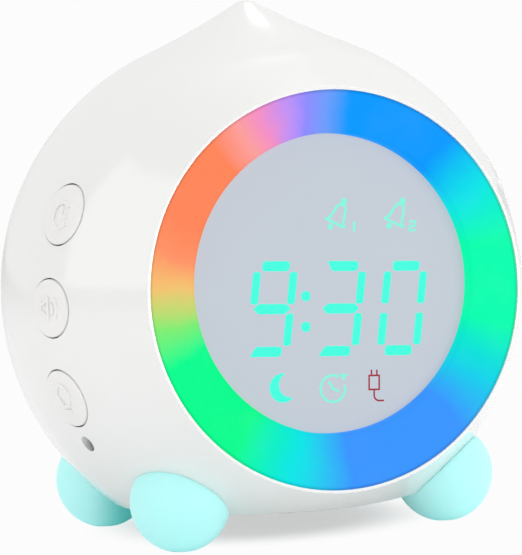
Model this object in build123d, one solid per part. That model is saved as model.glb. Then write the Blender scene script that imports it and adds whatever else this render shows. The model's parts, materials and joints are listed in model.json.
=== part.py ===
"""Kids' alarm clock with a night-light ring: a ball with a pointed top, on four round feet.

Millimetres. +Z is up and the face looks along -Y. The pieces are built about the ball's centre and
moved at the end, so that the origin lies on the floor, in the middle of the outer box.
Every hole is a little wider than the screw, pin or stem in it.
"""
import os
from math import atan2, cos, degrees, hypot, radians, sin, sqrt, tan

from build123d import *

# ---- Driving dimensions: body --------------------------------------------------------------------
body_radius = 55.0
wall = 2.2
tip_height = 60.8            # above the ball's centre
tip_radius = 4.2
tip_blend_angle = 22.5       # from the vertical, where the tip's flank leaves the ball
base_level = -43.2           # flat underside
base_edge_radius = 1.0
seam_y = 10.5                # the front and rear shells meet in this plane
seam_groove = (0.3, 0.25)    # width and depth of the fine groove along the seam
face_tilt = 2.7              # the face looks up a little
rim_radius = 41.0            # white lip round the light ring
rim_forward = 40.5
rim_edge_radius = 0.45
flare_meet = 27.0            # the ball runs into the flared lip here
flare_overlap = 2.2
seat_forward = 36.0          # the ring's flange seats here, behind the lip
seat_radius = 42.0
lip_wall_limit = 1.0         # bosses stop this far under the outer surface
fit_gap = 0.1                # between fixed pieces that slot into each other
thread_gap = 0.02            # between a screw and its hole

# ---- Driving dimensions: light ring --------------------------------------------------------------
ring_radius = 40.3
ring_edge_forward = 40.2     # outer edge
ring_crown_forward = 39.85   # at the middle of its width
ring_inner_forward = 38.4    # edge of the window
ring_wall = 1.8
ring_flange_radius = 41.8
ring_flange = 1.5
window_radius = 30.4
screen_rise = 1.3            # the window lies this far above the ring's axis
ring_skirt = 1.0
ring_skirt_end = 34.9

# ---- Driving dimensions: light carrier, ring board and main board --------------------------------
carrier_inner_radius = 31.0
carrier_inner_wall = 1.0
carrier_outer_radius = 38.3
carrier_outer_wall = 1.1
carrier_floor_back = 28.0
carrier_floor = 1.2
carrier_top = 36.2
press_rim_radius = 41.6
press_rim_back = 33.0
carrier_screw_circle = 42.6
carrier_ear_back = 26.5
carrier_ear_radius = 2.1
carrier_boss_radius = 2.4
carrier_boss_front = 32.8
led_circle_radius = 34.6
led_count = 16
led_length = 3.5
led_width = 2.8
led_height = 1.9
led_window_gap = 0.3
ring_board_radii = (32.3, 36.9)
ring_board = 1.2
post_circle = 35.3
post_radius = 1.8
post_back = 26.0
stake_radius = 0.8
stake_head_radius = 1.3
stake_head = 0.5
main_board_radius = 36.9
main_board = 1.6

# ---- Driving dimensions: screen ------------------------------------------------------------------
panel_front = 36.35
panel_radius = 30.25
panel_flange_radius = 30.85
panel_back = 34.1
housing_radius = 30.6
guide_back = 30.0            # the light guides reach back to here
glyph_turn = -4.5            # the read-out is set turned in the window by this angle
glyph_slant = 6.0
digit_centres = (-12.6, 2.5, 16.2)
lead_digit_x = -25.8         # only its right-hand strokes fit in the window
digit_row = -5.1
digit_half_width = 4.0
digit_half_height = 8.6
bar_length = 6.0
bar_tail = 0.9               # longer outer corner where no upright stroke stands on the left
middle_bar_length = 7.8
bar_thickness = 2.05
post_bar_length = 6.5
post_bar_thickness = 1.7
post_bar_centre = 4.2
colon_place = (-5.2, -5.65)
colon_half_gap = 3.1
colon_dot_radius = 1.05
icon_well = 7.4
bell_places = ((2.1, 13.9), (15.1, 14.05))
bell_well_place = (9.9, 14.0)
bell_well = (25.0, 9.0)
bell_number_offset = (3.4, -2.4)
moon_place = (-10.2, -21.0)
timer_place = (0.75, -21.3)
plug_place = (9.9, -20.2)
bell_lean = -24.0
bell_bridge_place = (0.9, -1.7)
bridge_height = 0.4
icon_stroke = 0.55
plug_stroke = 0.36

# ---- Driving dimensions: buttons on the two sides ------------------------------------------------
side_turn = 17.0             # the side boards face this far forward of straight sideways
button_heights = (19.9, 1.2, -17.5)
forward_steps = {19.9: 0.7, 1.2: -0.7, -17.5: -0.9, -27.3: -0.4}    # at each height, towards the face
cap_radius = 5.9
cap_gap = 0.28
cap_proud = 0.35
cap_edge_radius = 0.3
cap_flange_radius = 6.9
cap_flange = 1.0
cap_flange_gap = 0.05
cap_stem_radius = 2.0
collar_radius = 7.6
icon_raise = 0.3
button_stroke = 0.7
side_board_face = 36.0
side_board = 1.2
side_board_width = 13.0
side_board_top = 27.0
side_post_radius = 2.1
side_post_heights = (10.55, -8.15)
switch_size = 6.0
switch_height = 3.5
switch_top = side_board_face + switch_height
plunger_radius = 1.7
plunger_foot = switch_top - 0.9
plunger_tip = switch_top + 1.1
switch_well = switch_top - 1.6
reset_height = -27.3
reset_radius = 1.45
reset_hole_radius = 1.65
reset_tip = 46.0

# ---- Driving dimensions: feet --------------------------------------------------------------------
foot_x = 29.7
foot_y = 22.4
foot_z = -40.0
foot_radius = 10.3
floor_level = -49.95         # the feet have small flats here
foot_gap = 0.06
foot_rim = 0.3               # the rim that meets the body is eased by this much
peg_radius = 2.9
peg_end = 52.6
foot_boss_radius = 4.6
foot_boss_end = 50.4

# ---- Driving dimensions: rear shell, speaker, charging socket ------------------------------------
shell_screw_circle = 44.0
shell_screw_angles = (45.0, 135.0, 205.0, 335.0)
shell_boss_radius = 3.2
shell_boss_front = -2.0
shell_rib = 2.4
well_radius = 2.9
well_wall = 1.5
well_floor = 15.0
tongue_radii = (51.4, 52.6)
tongue_front = 8.0
tongue_back = 14.0
tongue_low = -39.5
tongue_high = 44.0
speaker_y = 42.5             # front of the speaker's flange, towards the rear shell
speaker_radius = 18.5
speaker_flange = 1.0
speaker_ear_circle = 22.5
speaker_ear_radius = 2.6
speaker_ledge_inner = 16.2
gasket = 0.5
basket_depth = 8.0
magnet_radius = 11.0
magnet_height = 6.0
grille_rings = ((0.0, 1), (4.2, 6), (8.4, 12), (12.6, 18))
grille_hole_radius = 1.05
port_angle = 33.0            # the charging socket looks back and this far down
port_slot = (9.3, 3.6)
port_shell = (8.94, 3.26)
port_shell_wall = 0.3
port_front = 54.3
port_depth = 7.35
port_tongue = (6.7, 0.7)
charge_board_size = (16.0, 13.5, 1.2)
charge_board_front = 51.5
rail_end = 40.0

# ---- Driving dimensions: battery, touch electrode, leads -----------------------------------------
cell_size = (50.0, 34.0, 10.0)
cell_pad = 1.0
pad_size = (46.0, 25.0)
pad_y = -3.0
fence = 1.2
fence_height = 5.0
electrode_radii = (2.5, 9.3)
electrode = 0.3
lead_diameter = 2.0
ribbon_width = 7.0
ribbon_thickness = 0.5
touch_lead_radius = 0.8
lead_straight = 4.0          # run straight out of a plug or board
arc_share = 0.45             # of the shorter run, for each arc of a lead

# ---- Screws: head radius, head height, shank radius ----------------------------------------------
small_screw = (1.9, 1.3, 1.0)
medium_screw = (2.3, 1.6, 1.25)

reach = 200.0                # larger than the whole clock

# ---- Worked out from the above -------------------------------------------------------------------
flare_meet_radius = sqrt(body_radius ** 2 - flare_meet ** 2)
flare_slope = degrees(atan2(rim_forward - flare_meet, flare_meet_radius - rim_radius))
flare_back = flare_meet - flare_overlap
tip_sin = sin(radians(tip_blend_angle))
tip_cos = cos(radians(tip_blend_angle))
tip_centre = tip_height - tip_radius
flank_centre = ((body_radius - tip_radius) ** 2 - tip_centre ** 2) / (
    2 * (body_radius - tip_radius - tip_centre * tip_cos))
floor_inside = base_level + wall
front_reach = (rim_forward * cos(radians(face_tilt)) + rim_radius * sin(radians(face_tilt)))
ball_y = (front_reach - body_radius) / 2
ball_z = -floor_level

face = Plane(origin=(0, 0, 0), x_dir=(1, 0, 0),
             z_dir=(0, -cos(radians(face_tilt)), sin(radians(face_tilt))))
window = face * Pos(0, screen_rise, 0)
lights = face * Pos(0, screen_rise / 2, 0)
glyphs = window * Rot(0, 0, glyph_turn)
port = Plane(origin=(0, 0, 0), x_dir=(-1, 0, 0),
             z_dir=(0, cos(radians(port_angle)), -sin(radians(port_angle))))
bottom_up = (Align.CENTER, Align.CENTER, Align.MIN)


# ---- Small helpers -------------------------------------------------------------------------------
def disc(radius, start, end):
    """Cylinder along Z from start to end."""
    return Pos(0, 0, start) * Cylinder(radius, end - start, align=bottom_up)


def tube(inner, outer, start, end):
    """Tube along Z from start to end."""
    return disc(outer, start, end) - disc(inner, start - 1, end + 1)


def block(size_x, size_y, start, end):
    """Box centred on Z, from start to end."""
    return Pos(0, 0, start) * Box(size_x, size_y, end - start, align=bottom_up)


def slab(sketch, start, end):
    """A sketch in the XY plane, extruded from start to end along Z."""
    return extrude(Pos(0, 0, start) * sketch, end - start)


def screw(kind, seat, length, direction=1):
    """Pan-head screw along Z: its head lies under the seat and its shank runs towards direction."""
    head_radius, head_height, shank_radius = kind
    head = fillet(disc(head_radius, -head_height, 0).edges().sort_by(Axis.Z)[0], head_height * 0.4)
    recess = block(head_radius, 0.5, -head_height - 1, -head_height * 0.5)
    body = head - recess - Rot(0, 0, 90) * recess + disc(shank_radius, 0, length)
    turn = Rot(0, 0, 0) if direction > 0 else Rot(180, 0, 0)
    return Pos(0, 0, seat) * turn * body


def ring_places(radius, count, first=0.0):
    """Places on a circle, each turned to face outwards."""
    return [Rot(0, 0, first + 360.0 * index / count) * Pos(radius, 0, 0) for index in range(count)]


def group(solids):
    """Separate solids in one node."""
    return Compound([piece for solid in solids for piece in solid.solids()])


def joined(solids):
    """Union of a list of solids."""
    first, *rest = solids
    return first + rest if rest else first


def bar_points(centre, length, thickness, taper, point, upright=False, tail=0):
    """Corners of one display stroke, with tapered ends, slanted like the digits.

    A tail of 1 or -1 draws out the left end's upper or lower corner.
    """
    half, side = length / 2, thickness / 2
    corners = [(-half, -point), (-half + taper, -side), (half - taper, -side), (half, -point),
               (half, point), (half - taper, side), (-half + taper, side), (-half, point)]
    if tail > 0:
        corners[6:] = [(-half - bar_tail, side)]
    if tail < 0:
        corners[:2] = [(-half - bar_tail, -side)]
    if upright:
        corners = [(-y, x) for x, y in corners]
    slope = tan(radians(glyph_slant))
    placed = [(x + centre[0], y + centre[1]) for x, y in corners]
    return [(x + (y - digit_row) * slope, y) for x, y in placed]


def polygon(points):
    """Flat face through the points."""
    return make_face(Polyline(*points, close=True))


# ---- The outer form ------------------------------------------------------------------------------
def on_arc(centre, radius, first, second):
    """Middle point of the arc about centre between two points on it."""
    x = (first[0] + second[0]) / 2 - centre[0]
    z = (first[1] + second[1]) / 2 - centre[1]
    scale = radius / hypot(x, z)
    return (centre[0] + x * scale, centre[1] + z * scale)


def pointed_ball(inset):
    """The ball with its pointed top, every surface moved in by inset."""
    radius = body_radius - inset
    flank_radius = flank_centre - body_radius + inset
    centre = (flank_centre * tip_sin, flank_centre * tip_cos)
    blend = (radius * tip_sin, radius * tip_cos)
    round_radius = tip_radius - inset
    away = hypot(centre[0], centre[1] - tip_centre)
    foot = (centre[0] / away * round_radius, tip_centre + (centre[1] - tip_centre) / away * round_radius)
    apex = (0, tip_centre + round_radius)
    outline = [
        ThreePointArc((0, -radius), (radius, 0), blend),
        ThreePointArc(blend, on_arc(centre, flank_radius, blend, foot), foot),
        ThreePointArc(foot, on_arc((0, tip_centre), round_radius, foot, apex), apex),
        Line(apex, (0, -radius)),
    ]
    return revolve(Plane.XZ * make_face(outline), Axis.Z)


def body_volume(inset, front, edge_radius=0.0):
    """The whole outer form, every surface moved in by inset and cut off at front."""
    offset_out = inset / sin(radians(flare_slope))
    start_radius, end_radius = (rim_radius - offset_out + (rim_forward - level) / tan(radians(flare_slope))
                                for level in (flare_back, front))
    flare = Pos(0, 0, flare_back) * Cone(start_radius, end_radius, front - flare_back, align=bottom_up)
    if edge_radius:
        flare = fillet(flare.edges().sort_by(Axis.Z)[-1], edge_radius)
    above = Pos(0, 0, base_level + inset) * Box(reach, reach, reach, align=bottom_up)
    return ((pointed_ball(inset) + face * flare) - (face * slab(Rectangle(reach, reach), front, reach))) & above


outer_form = body_volume(0.0, rim_forward, rim_edge_radius)
outer_form = fillet(outer_form.edges().group_by(Axis.Z)[0], base_edge_radius)
hollow = body_volume(wall, seat_forward)
boss_limit = body_volume(lip_wall_limit, seat_forward)
front_half = Pos(0, seam_y - reach / 2, 0) * Box(reach, reach, reach)
rear_half = Pos(0, seam_y + reach / 2, 0) * Box(reach, reach, reach)
rear_looking = Plane(origin=(0, 0, 0), x_dir=(-1, 0, 0), z_dir=(0, 1, 0))
groove = (Pos(0, seam_y, 0) * Box(reach, seam_groove[0], reach)) - body_volume(seam_groove[1], rim_forward)


# ---- Side frames and feet frames -----------------------------------------------------------------
def aside(side, height):
    """Step along a side frame's X of what lies at this height."""
    return -side * forward_steps.get(height, 0.0)


def side_plane(side, height=0.0):
    """Frame whose Z leaves the clock through a side's buttons; side is -1 on the left, 1 on the right."""
    out_x, out_y = side * cos(radians(side_turn)), -sin(radians(side_turn))
    step = aside(side, height)
    return Plane(origin=(-out_y * step, out_x * step, height), x_dir=(-out_y, out_x, 0),
                 z_dir=(out_x, out_y, 0))


def foot_plane(right, back):
    """Frame whose Z runs from the ball's centre through a foot; right and back are -1 or 1."""
    return Plane(origin=(0, 0, 0), z_dir=(right * foot_x, back * foot_y, foot_z))


def collar_end(height):
    """Inner end of a button's collar, flat, just inside the shell's curved wall."""
    inner = body_radius - wall
    return sqrt(inner ** 2 - (abs(height) + collar_radius) ** 2) - cap_edge_radius


foot_corners = {"front_left": (-1, -1), "front_right": (1, -1), "rear_left": (-1, 1), "rear_right": (1, 1)}


# ---- Shells --------------------------------------------------------------------------------------
def foot_bosses(back):
    """Bosses inside the wall that the feet are screwed to."""
    return [foot_plane(right, back) * disc(foot_boss_radius, foot_boss_end, body_radius - wall / 2)
            for right in (-1, 1)]


def foot_holes(back):
    """For each foot, a hole for its peg from outside and one for its screw."""
    shank = medium_screw[2] + fit_gap
    return [foot_plane(right, back) * (disc(peg_radius + fit_gap, peg_end - fit_gap, body_radius + 1)
                                       + disc(shank, foot_boss_end - 1, peg_end))
            for right in (-1, 1)]


def side_bosses(side):
    """Button collars and the two posts of one side board."""
    solids = []
    for height in button_heights:
        solids.append(side_plane(side, height) * disc(collar_radius, collar_end(height), body_radius))
    for height in side_post_heights:
        solids.append(side_plane(side, height) * disc(side_post_radius, side_board_face, body_radius))
    return solids


def side_holes(side):
    """Bores for the caps and pilot holes in the posts."""
    bore = cap_radius + cap_gap
    solids = [side_plane(side, height) * disc(bore, collar_end(height) - 1, body_radius + 2)
              for height in button_heights]
    pilot = small_screw[2] + thread_gap
    for height in side_post_heights:
        solids.append(side_plane(side, height) * disc(pilot, side_board_face - 1, side_board_face + 8))
    return solids


def shell_screw_frames():
    """Frames of the four screws that hold the shells together; Z leaves the clock at the back."""
    return [rear_looking * Rot(0, 0, angle) * Pos(shell_screw_circle, 0, 0) for angle in shell_screw_angles]


def front_shell():
    """Front shell: tip, button walls, ring lip, floor fence and all its bosses."""
    shell = (outer_form & front_half) - hollow - groove
    added = foot_bosses(-1) + side_bosses(-1) + side_bosses(1)
    for place in ring_places(carrier_screw_circle, 4, 45):
        added.append(face * place * disc(carrier_boss_radius, carrier_floor_back, carrier_boss_front))
    for frame in shell_screw_frames():
        added.append(frame * disc(shell_boss_radius, shell_boss_front, seam_y))
        added.append(frame * Pos(shell_boss_radius, 0, 0)
                     * block(2 * shell_boss_radius + 4, shell_rib, shell_boss_front, seam_y))
    shell += [solid & boss_limit for solid in added]
    shell += battery_fence()
    cuts = foot_holes(-1) + side_holes(-1) + side_holes(1)
    cuts.append(face * disc(ring_radius + fit_gap, seat_forward - 1, rim_forward + 2))
    cuts.append(face * disc(seat_radius, press_rim_back - fit_gap, seat_forward))
    cuts.append(side_plane(-1, reset_height) * disc(reset_hole_radius, side_board_face, body_radius))
    pilot = medium_screw[2] + thread_gap
    for place in ring_places(carrier_screw_circle, 4, 45):
        cuts.append(face * place * disc(pilot, carrier_floor_back - 1, carrier_boss_front - 0.5))
    for frame in shell_screw_frames():
        cuts.append(frame * disc(pilot, shell_boss_front + 1, seam_y + 1))
    return shell - cuts


def battery_fence():
    """Low ribs on the floor that keep the cell in place."""
    half_x, half_y = cell_size[0] / 2 + fit_gap, cell_size[1] / 2 + fit_gap
    side_rib = Box(fence, 18, fence_height, align=bottom_up)
    front_rib = Box(30, fence, fence_height, align=bottom_up)
    level = floor_inside - thread_gap
    return [Pos(-half_x - fence / 2, -2, level) * side_rib,
            Pos(half_x + fence / 2, -2, level) * side_rib,
            Pos(0, -half_y - fence / 2, level) * front_rib]


def tongue():
    """Ring inside the seam that lines the two shells up, cleared round the screw bosses."""
    ring = Sphere(tongue_radii[1]) - Sphere(tongue_radii[0])
    span = Pos(0, tongue_front, tongue_low) * Box(
        reach, tongue_back - tongue_front, tongue_high - tongue_low,
        align=(Align.CENTER, Align.MIN, Align.MIN))
    root = (Sphere(body_radius - wall / 2) - Sphere(tongue_radii[0])) & (
        Pos(0, seam_y, tongue_low) * Box(reach, tongue_back - seam_y, tongue_high - tongue_low,
                                         align=(Align.CENTER, Align.MIN, Align.MIN)))
    clear = [frame * block(30, 2 * shell_boss_radius + 2, tongue_front - 1, seam_y)
             for frame in shell_screw_frames()]
    return ((ring & span) + root) - clear


def grille_cuts():
    """Round sound holes in rings in front of the speaker."""
    hole = disc(grille_hole_radius, speaker_y + 1, body_radius + 2)
    return [rear_looking * place * hole
            for radius, count in grille_rings for place in ring_places(radius, count)]


def board_rails():
    """Two grooved rails that hold the charging board by its edges."""
    width, _, thickness = charge_board_size
    top = -port_shell[1] / 2
    rail = block(3.0, thickness + 2.8, rail_end, body_radius)
    groove = Pos(0, top - thickness / 2, 0) * block(width + 2 * fit_gap, thickness + 2 * fit_gap,
                                                    rail_end - 1, charge_board_front + fit_gap)
    rails = [port * ((Pos(x, top - thickness / 2, 0) * rail) - groove) & boss_limit
             for x in (-(width / 2 + 0.6), width / 2 + 0.6)]
    return rails


def rear_shell():
    """Rear shell: screw wells, speaker seat, sound holes, charging slot and rear foot bosses."""
    shell = (outer_form & rear_half) - hollow - groove
    added = foot_bosses(1)
    for frame in shell_screw_frames():
        added.append(frame * disc(well_radius + well_wall, seam_y, body_radius))
    added.append(rear_looking * tube(speaker_ledge_inner, speaker_radius, speaker_y + gasket, body_radius))
    for place in ring_places(speaker_ear_circle, 4, 45):
        added.append(rear_looking * place * disc(speaker_ear_radius, speaker_y, body_radius))
    shell += [solid & boss_limit for solid in added]
    shell += board_rails()
    shell += tongue()
    cuts = foot_holes(1) + grille_cuts()
    for frame in shell_screw_frames():
        cuts.append(frame * disc(well_radius, well_floor, body_radius))
        cuts.append(frame * disc(medium_screw[2] + fit_gap, seam_y - 1, well_floor + 1))
    for place in ring_places(speaker_ear_circle, 4, 45):
        cuts.append(rear_looking * place * disc(small_screw[2] + thread_gap, speaker_y - 1, speaker_y + 5))
    cuts.append(port * slab(SlotOverall(*port_slot), charge_board_front + fit_gap, body_radius + 2))
    return shell - cuts


def shell_screws():
    """Four screws deep in the rear wells."""
    return group(frame * screw(medium_screw, well_floor, well_floor - shell_boss_front - 2, -1)
                 for frame in shell_screw_frames())


# ---- Feet ----------------------------------------------------------------------------------------
foot_hollow = body_volume(-foot_gap, rim_forward)
above_floor = Pos(0, 0, floor_level) * Box(reach, reach, reach, align=bottom_up)


def foot(right, back):
    """Round foot, hollowed to sit against the body, with a peg and a pilot hole for its screw."""
    ball = Pos(right * foot_x, back * foot_y, foot_z) * Sphere(foot_radius)
    frame = foot_plane(right, back)
    solid = (ball & above_floor) - foot_hollow
    solid = chamfer(solid.edges(), foot_rim)
    solid += frame * disc(peg_radius, peg_end, body_radius + 2)
    return solid - frame * disc(medium_screw[2] + thread_gap, peg_end - 1, body_radius + 6)


def foot_screws():
    """The four screws that hold the feet, driven from inside."""
    return group(foot_plane(right, back) * screw(medium_screw, foot_boss_end, 10)
                 for right, back in foot_corners.values())


# ---- Light ring ----------------------------------------------------------------------------------
def crowned_disc(radius, lift, bottom):
    """Disc about Z whose top is the ring's crowned surface, moved back by lift."""
    middle = (radius + window_radius - 1) / 2
    outline = [
        Line((0, bottom), (radius, bottom)),
        Line((radius, bottom), (radius, ring_edge_forward - lift)),
        ThreePointArc((radius, ring_edge_forward - lift), (middle, ring_crown_forward - lift),
                      (window_radius - 1 - screen_rise, ring_inner_forward - lift)),
        Line((window_radius - 1 - screen_rise, ring_inner_forward - lift),
             (0, ring_inner_forward - lift)),
        Line((0, ring_inner_forward - lift), (0, bottom)),
    ]
    return revolve(Plane.XZ * make_face(outline), Axis.Z)


def ring_diffuser():
    """Milky ring over the lights, crowned, with a skirt, a rear flange and an inner skirt."""
    shift = Pos(0, screen_rise, 0)
    flange_back = seat_forward - ring_flange
    solid = crowned_disc(ring_radius, 0, flange_back) + disc(ring_flange_radius, flange_back, seat_forward)
    solid = fillet(solid.edges().filter_by(GeomType.CIRCLE).sort_by(Axis.Z)[-1], 0.35)
    trough = crowned_disc(ring_radius - ring_wall, ring_wall, flange_back - 1)
    solid -= trough - shift * disc(window_radius + ring_skirt, 0, reach)
    solid -= shift * disc(window_radius, 0, reach)
    solid -= shift * disc(window_radius + ring_skirt + 1, 0, ring_skirt_end) & disc(34, 0, reach)
    return face * solid


def carrier_ears():
    """Four screw ears on the light carrier, each with a riser up its outer wall."""
    width = 2 * carrier_ear_radius
    ear = Pos(carrier_screw_circle, 0, 0) * disc(carrier_ear_radius, carrier_ear_back, carrier_floor_back)
    inner = carrier_outer_radius - 0.4
    riser_end = carrier_screw_circle - carrier_boss_radius - 2 * fit_gap
    arm = Pos((inner + carrier_screw_circle) / 2, 0, 0) * block(
        carrier_screw_circle - inner, width, carrier_ear_back, carrier_floor_back)
    arm += Pos((inner + riser_end) / 2, 0, 0) * block(
        riser_end - inner, width, carrier_ear_back, carrier_floor_back + carrier_floor)
    hole = Pos(carrier_screw_circle, 0, 0) * disc(medium_screw[2] + fit_gap, 0, reach)
    return [Rot(0, 0, 45 + 90 * index) * (ear + arm - hole) for index in range(4)]


def post_places():
    """Places of the main board's posts, between lights."""
    return ring_places(post_circle, 4, 180.0 / led_count)


def stake_places():
    """Places of the heat-staked pins that hold the ring board."""
    return ring_places(led_circle_radius, 4, 180.0 / led_count + 45)


def light_carrier():
    """White trough behind the ring; it presses the ring's flange home and carries both boards."""
    shift = Pos(0, screen_rise, 0)
    middle = Pos(0, screen_rise / 2, 0)
    inner = carrier_inner_radius + carrier_inner_wall
    solid = disc(carrier_outer_radius, carrier_floor_back, carrier_top)
    solid -= disc(carrier_outer_radius - carrier_outer_wall, carrier_floor_back + carrier_floor, reach)
    solid += tube(carrier_outer_radius - 0.5, press_rim_radius, press_rim_back,
                  seat_forward - ring_flange)
    solid += shift * disc(inner, carrier_floor_back, ring_skirt_end)
    solid -= shift * disc(carrier_inner_radius, 0, reach)
    solid += carrier_ears()
    window_box = block(led_width + 2 * led_window_gap, led_length + 2 * led_window_gap, 0,
                       carrier_floor_back + carrier_floor + 1)
    solid -= [middle * place * window_box for place in ring_places(led_circle_radius, led_count)]
    floor_top = carrier_floor_back + carrier_floor
    solid += [middle * place * disc(post_radius, post_back, floor_top) for place in post_places()]
    pilot = disc(small_screw[2] + thread_gap, 0, floor_top - 0.4)
    solid -= [middle * place * pilot for place in post_places()]
    board_back = carrier_floor_back - ring_board
    stake = disc(stake_radius, board_back, floor_top) + disc(stake_head_radius, board_back - stake_head,
                                                             board_back)
    solid += [middle * place * stake for place in stake_places()]
    return face * solid


def carrier_screws():
    """Four screws that hold the carrier to the front shell."""
    return group(face * place * screw(medium_screw, carrier_ear_back, 5.4)
                 for place in ring_places(carrier_screw_circle, 4, 45))


def ring_light_board():
    """Ring-shaped circuit board behind the trough's floor."""
    inner, outer = ring_board_radii
    back = carrier_floor_back - ring_board
    board = disc(outer, back, carrier_floor_back) - disc(inner, 0, reach)
    board -= [place * disc(post_radius + fit_gap, 0, reach) for place in post_places()]
    board -= [place * disc(stake_radius + fit_gap, 0, reach) for place in stake_places()]
    return lights * board


def ring_leds():
    """Colour-changing lights on the ring board, with a domed lens pocket each."""
    body = block(led_width, led_length, carrier_floor_back, carrier_floor_back + led_height)
    pocket = disc(1.1, carrier_floor_back + led_height - 0.3, reach)
    return group(lights * place * (body - pocket) for place in ring_places(led_circle_radius, led_count))


def main_circuit_board():
    """Round main board behind the screen housing."""
    front = post_back
    board = disc(main_board_radius, front - main_board, front)
    board -= [place * disc(small_screw[2] + fit_gap, 0, reach) for place in post_places()]
    return lights * board


def board_screws():
    """Four screws that hold the main board to the carrier's posts."""
    seat = post_back - main_board
    return group(lights * place * screw(small_screw, seat, 3.8) for place in post_places())


# ---- Screen --------------------------------------------------------------------------------------
def digit_strokes(centre, names):
    """Outlines of the named strokes of one seven-stroke digit."""
    x, y = centre, digit_row
    level = {"top": digit_half_height, "bottom": -digit_half_height, "middle": 0.0}
    upright = {"upper_left": (-1, 1), "upper_right": (1, 1), "lower_left": (-1, -1), "lower_right": (1, -1)}
    faces = []
    for name in names:
        if name in level:
            middle = name == "middle"
            length = middle_bar_length if middle else bar_length
            taper, point = (1.0, 0.2) if middle else (0.5, 0.55)
            tail = {"top": "upper_left" not in names, "bottom": -("lower_left" not in names)}.get(name, 0)
            points = bar_points((x, y + level[name]), length, bar_thickness, taper, point, tail=tail)
        else:
            right, up = upright[name]
            points = bar_points((x + right * digit_half_width, y + up * post_bar_centre),
                                post_bar_length, post_bar_thickness, 0.4, 0.5, upright=True)
        faces.append(fillet(polygon(points).vertices(), 0.18))
    return faces


def lit_strokes():
    """Every stroke that shows the time 9:30, and the colon."""
    nine = digit_strokes(digit_centres[0],
                         ("top", "upper_left", "upper_right", "middle", "lower_right", "bottom"))
    three = digit_strokes(digit_centres[1], ("top", "upper_right", "middle", "lower_right", "bottom"))
    zero = digit_strokes(digit_centres[2], ("top", "upper_left", "upper_right", "lower_left",
                                            "lower_right", "bottom"))
    colon = [Pos(colon_place[0], colon_place[1] + up * colon_half_gap, 0) * Circle(colon_dot_radius)
             for up in (1, -1)]
    return nine + three + zero + colon


def dark_strokes():
    """Strokes that are off at this time; they stay behind the panel's front."""
    return (digit_strokes(digit_centres[0], ("lower_left",))
            + digit_strokes(digit_centres[1], ("upper_left", "lower_left"))
            + digit_strokes(digit_centres[2], ("middle",))
            + digit_strokes(lead_digit_x, ("upper_right", "lower_right")))


def stroke_line(start, end, width):
    """Round-ended line."""
    length = hypot(end[0] - start[0], end[1] - start[1])
    angle = degrees(atan2(end[1] - start[1], end[0] - start[0]))
    middle = Pos((start[0] + end[0]) / 2, (start[1] + end[1]) / 2, 0)
    return middle * Rot(0, 0, angle) * SlotCenterToCenter(length, width)


def arc_line(radius, width, first, second):
    """Part of a ring about the origin, from one angle to another."""
    ring = Circle(radius + width / 2) - Circle(radius - width / 2)
    far = 3 * radius
    steps = 6
    fan = [(far * cos(radians(first + (second - first) * step / steps)),
            far * sin(radians(first + (second - first) * step / steps))) for step in range(steps + 1)]
    return ring & polygon([(0, 0)] + fan)


def stroke_path(points, width):
    """Chain of round-ended lines."""
    return joined([stroke_line(first, second, width) for first, second in zip(points, points[1:])])


def bell_icon(stroke, size=1.0):
    """Outline of a ringing bell, leaning right, with its knob and clapper."""
    outline = [(-2.2, -1.9), (-1.5, -1.0), (-1.1, 1.2), (-0.5, 2.2), (0.5, 2.2), (1.1, 1.2),
               (1.5, -1.0), (2.2, -1.9), (-2.2, -1.9)]
    icon = stroke_path([(x * size, y * size) for x, y in outline], stroke)
    icon += Pos(0, 2.95 * size, 0) * Circle(0.68 * size)
    icon += Pos(-0.7 * size, -2.95 * size, 0) * Circle(0.6 * size)
    return Rot(0, 0, bell_lean) * icon


def number_one(stroke):
    """The figure 1 as one stroke."""
    return stroke_line((0, -0.8), (0, 0.8), stroke)


def number_two(stroke):
    """The figure 2 drawn with straight strokes."""
    return stroke_path([(-0.6, 0.9), (0.6, 0.9), (0.6, 0.0), (-0.6, 0.0), (-0.6, -0.9), (0.6, -0.9)],
                       stroke)


def moon_icon():
    """Crescent moon."""
    return Circle(2.95) - Pos(1.65, 0.6, 0) * Circle(2.55)


def timer_icon(stroke):
    """Round timer with a gap, an arrow head and two hands."""
    icon = arc_line(2.7, stroke, 60, 375)
    icon += polygon([(1.6, 3.1), (3.3, 2.9), (2.1, 1.5)])
    icon += stroke_line((0, 0), (-0.8, 1.3), stroke)
    icon += stroke_line((0, 0), (1.2, -0.5), stroke)
    return icon


def plug_icon(stroke):
    """Charging plug with two prongs and a bent tail."""
    icon = Rectangle(2.6, 3.2) - Rectangle(2.6 - 2 * stroke, 3.2 - 2 * stroke)
    icon += [Pos(x, 2.05, 0) * Rectangle(stroke, 1.1) for x in (-0.6, 0.6)]
    icon += Pos(0.0, -2.1, 0) * Rectangle(stroke, 1.2)
    icon += Pos(1.1, -2.6, 0) * arc_line(1.1, stroke, 180, 270)
    icon += Pos(1.6, -3.7, 0) * Rectangle(1.2, stroke)
    return icon


def mint_icons():
    """Each mint icon: its place and its outline."""
    (x_one, y_one), (x_two, y_two) = bell_places
    step_x, step_y = bell_number_offset
    return [
        ((x_one, y_one), bell_icon(icon_stroke)),
        ((x_one + step_x, y_one + step_y), number_one(icon_stroke)),
        ((x_two, y_two), bell_icon(icon_stroke)),
        ((x_two + step_x, y_two + step_y), number_two(icon_stroke * 0.8)),
        (moon_place, moon_icon()),
        (timer_place, timer_icon(icon_stroke * 0.9)),
    ]


icon_blocks = {          # light wells behind the icons: place, width, height
    "bells": (bell_well_place, *bell_well),
    "moon": (moon_place, icon_well - 0.6, icon_well - 0.6),
    "timer": (timer_place, icon_well - 0.6, icon_well),
}
plug_block = ((plug_place[0] + 0.5, plug_place[1] - 0.5), 4.6, icon_well - 0.6)


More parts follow.
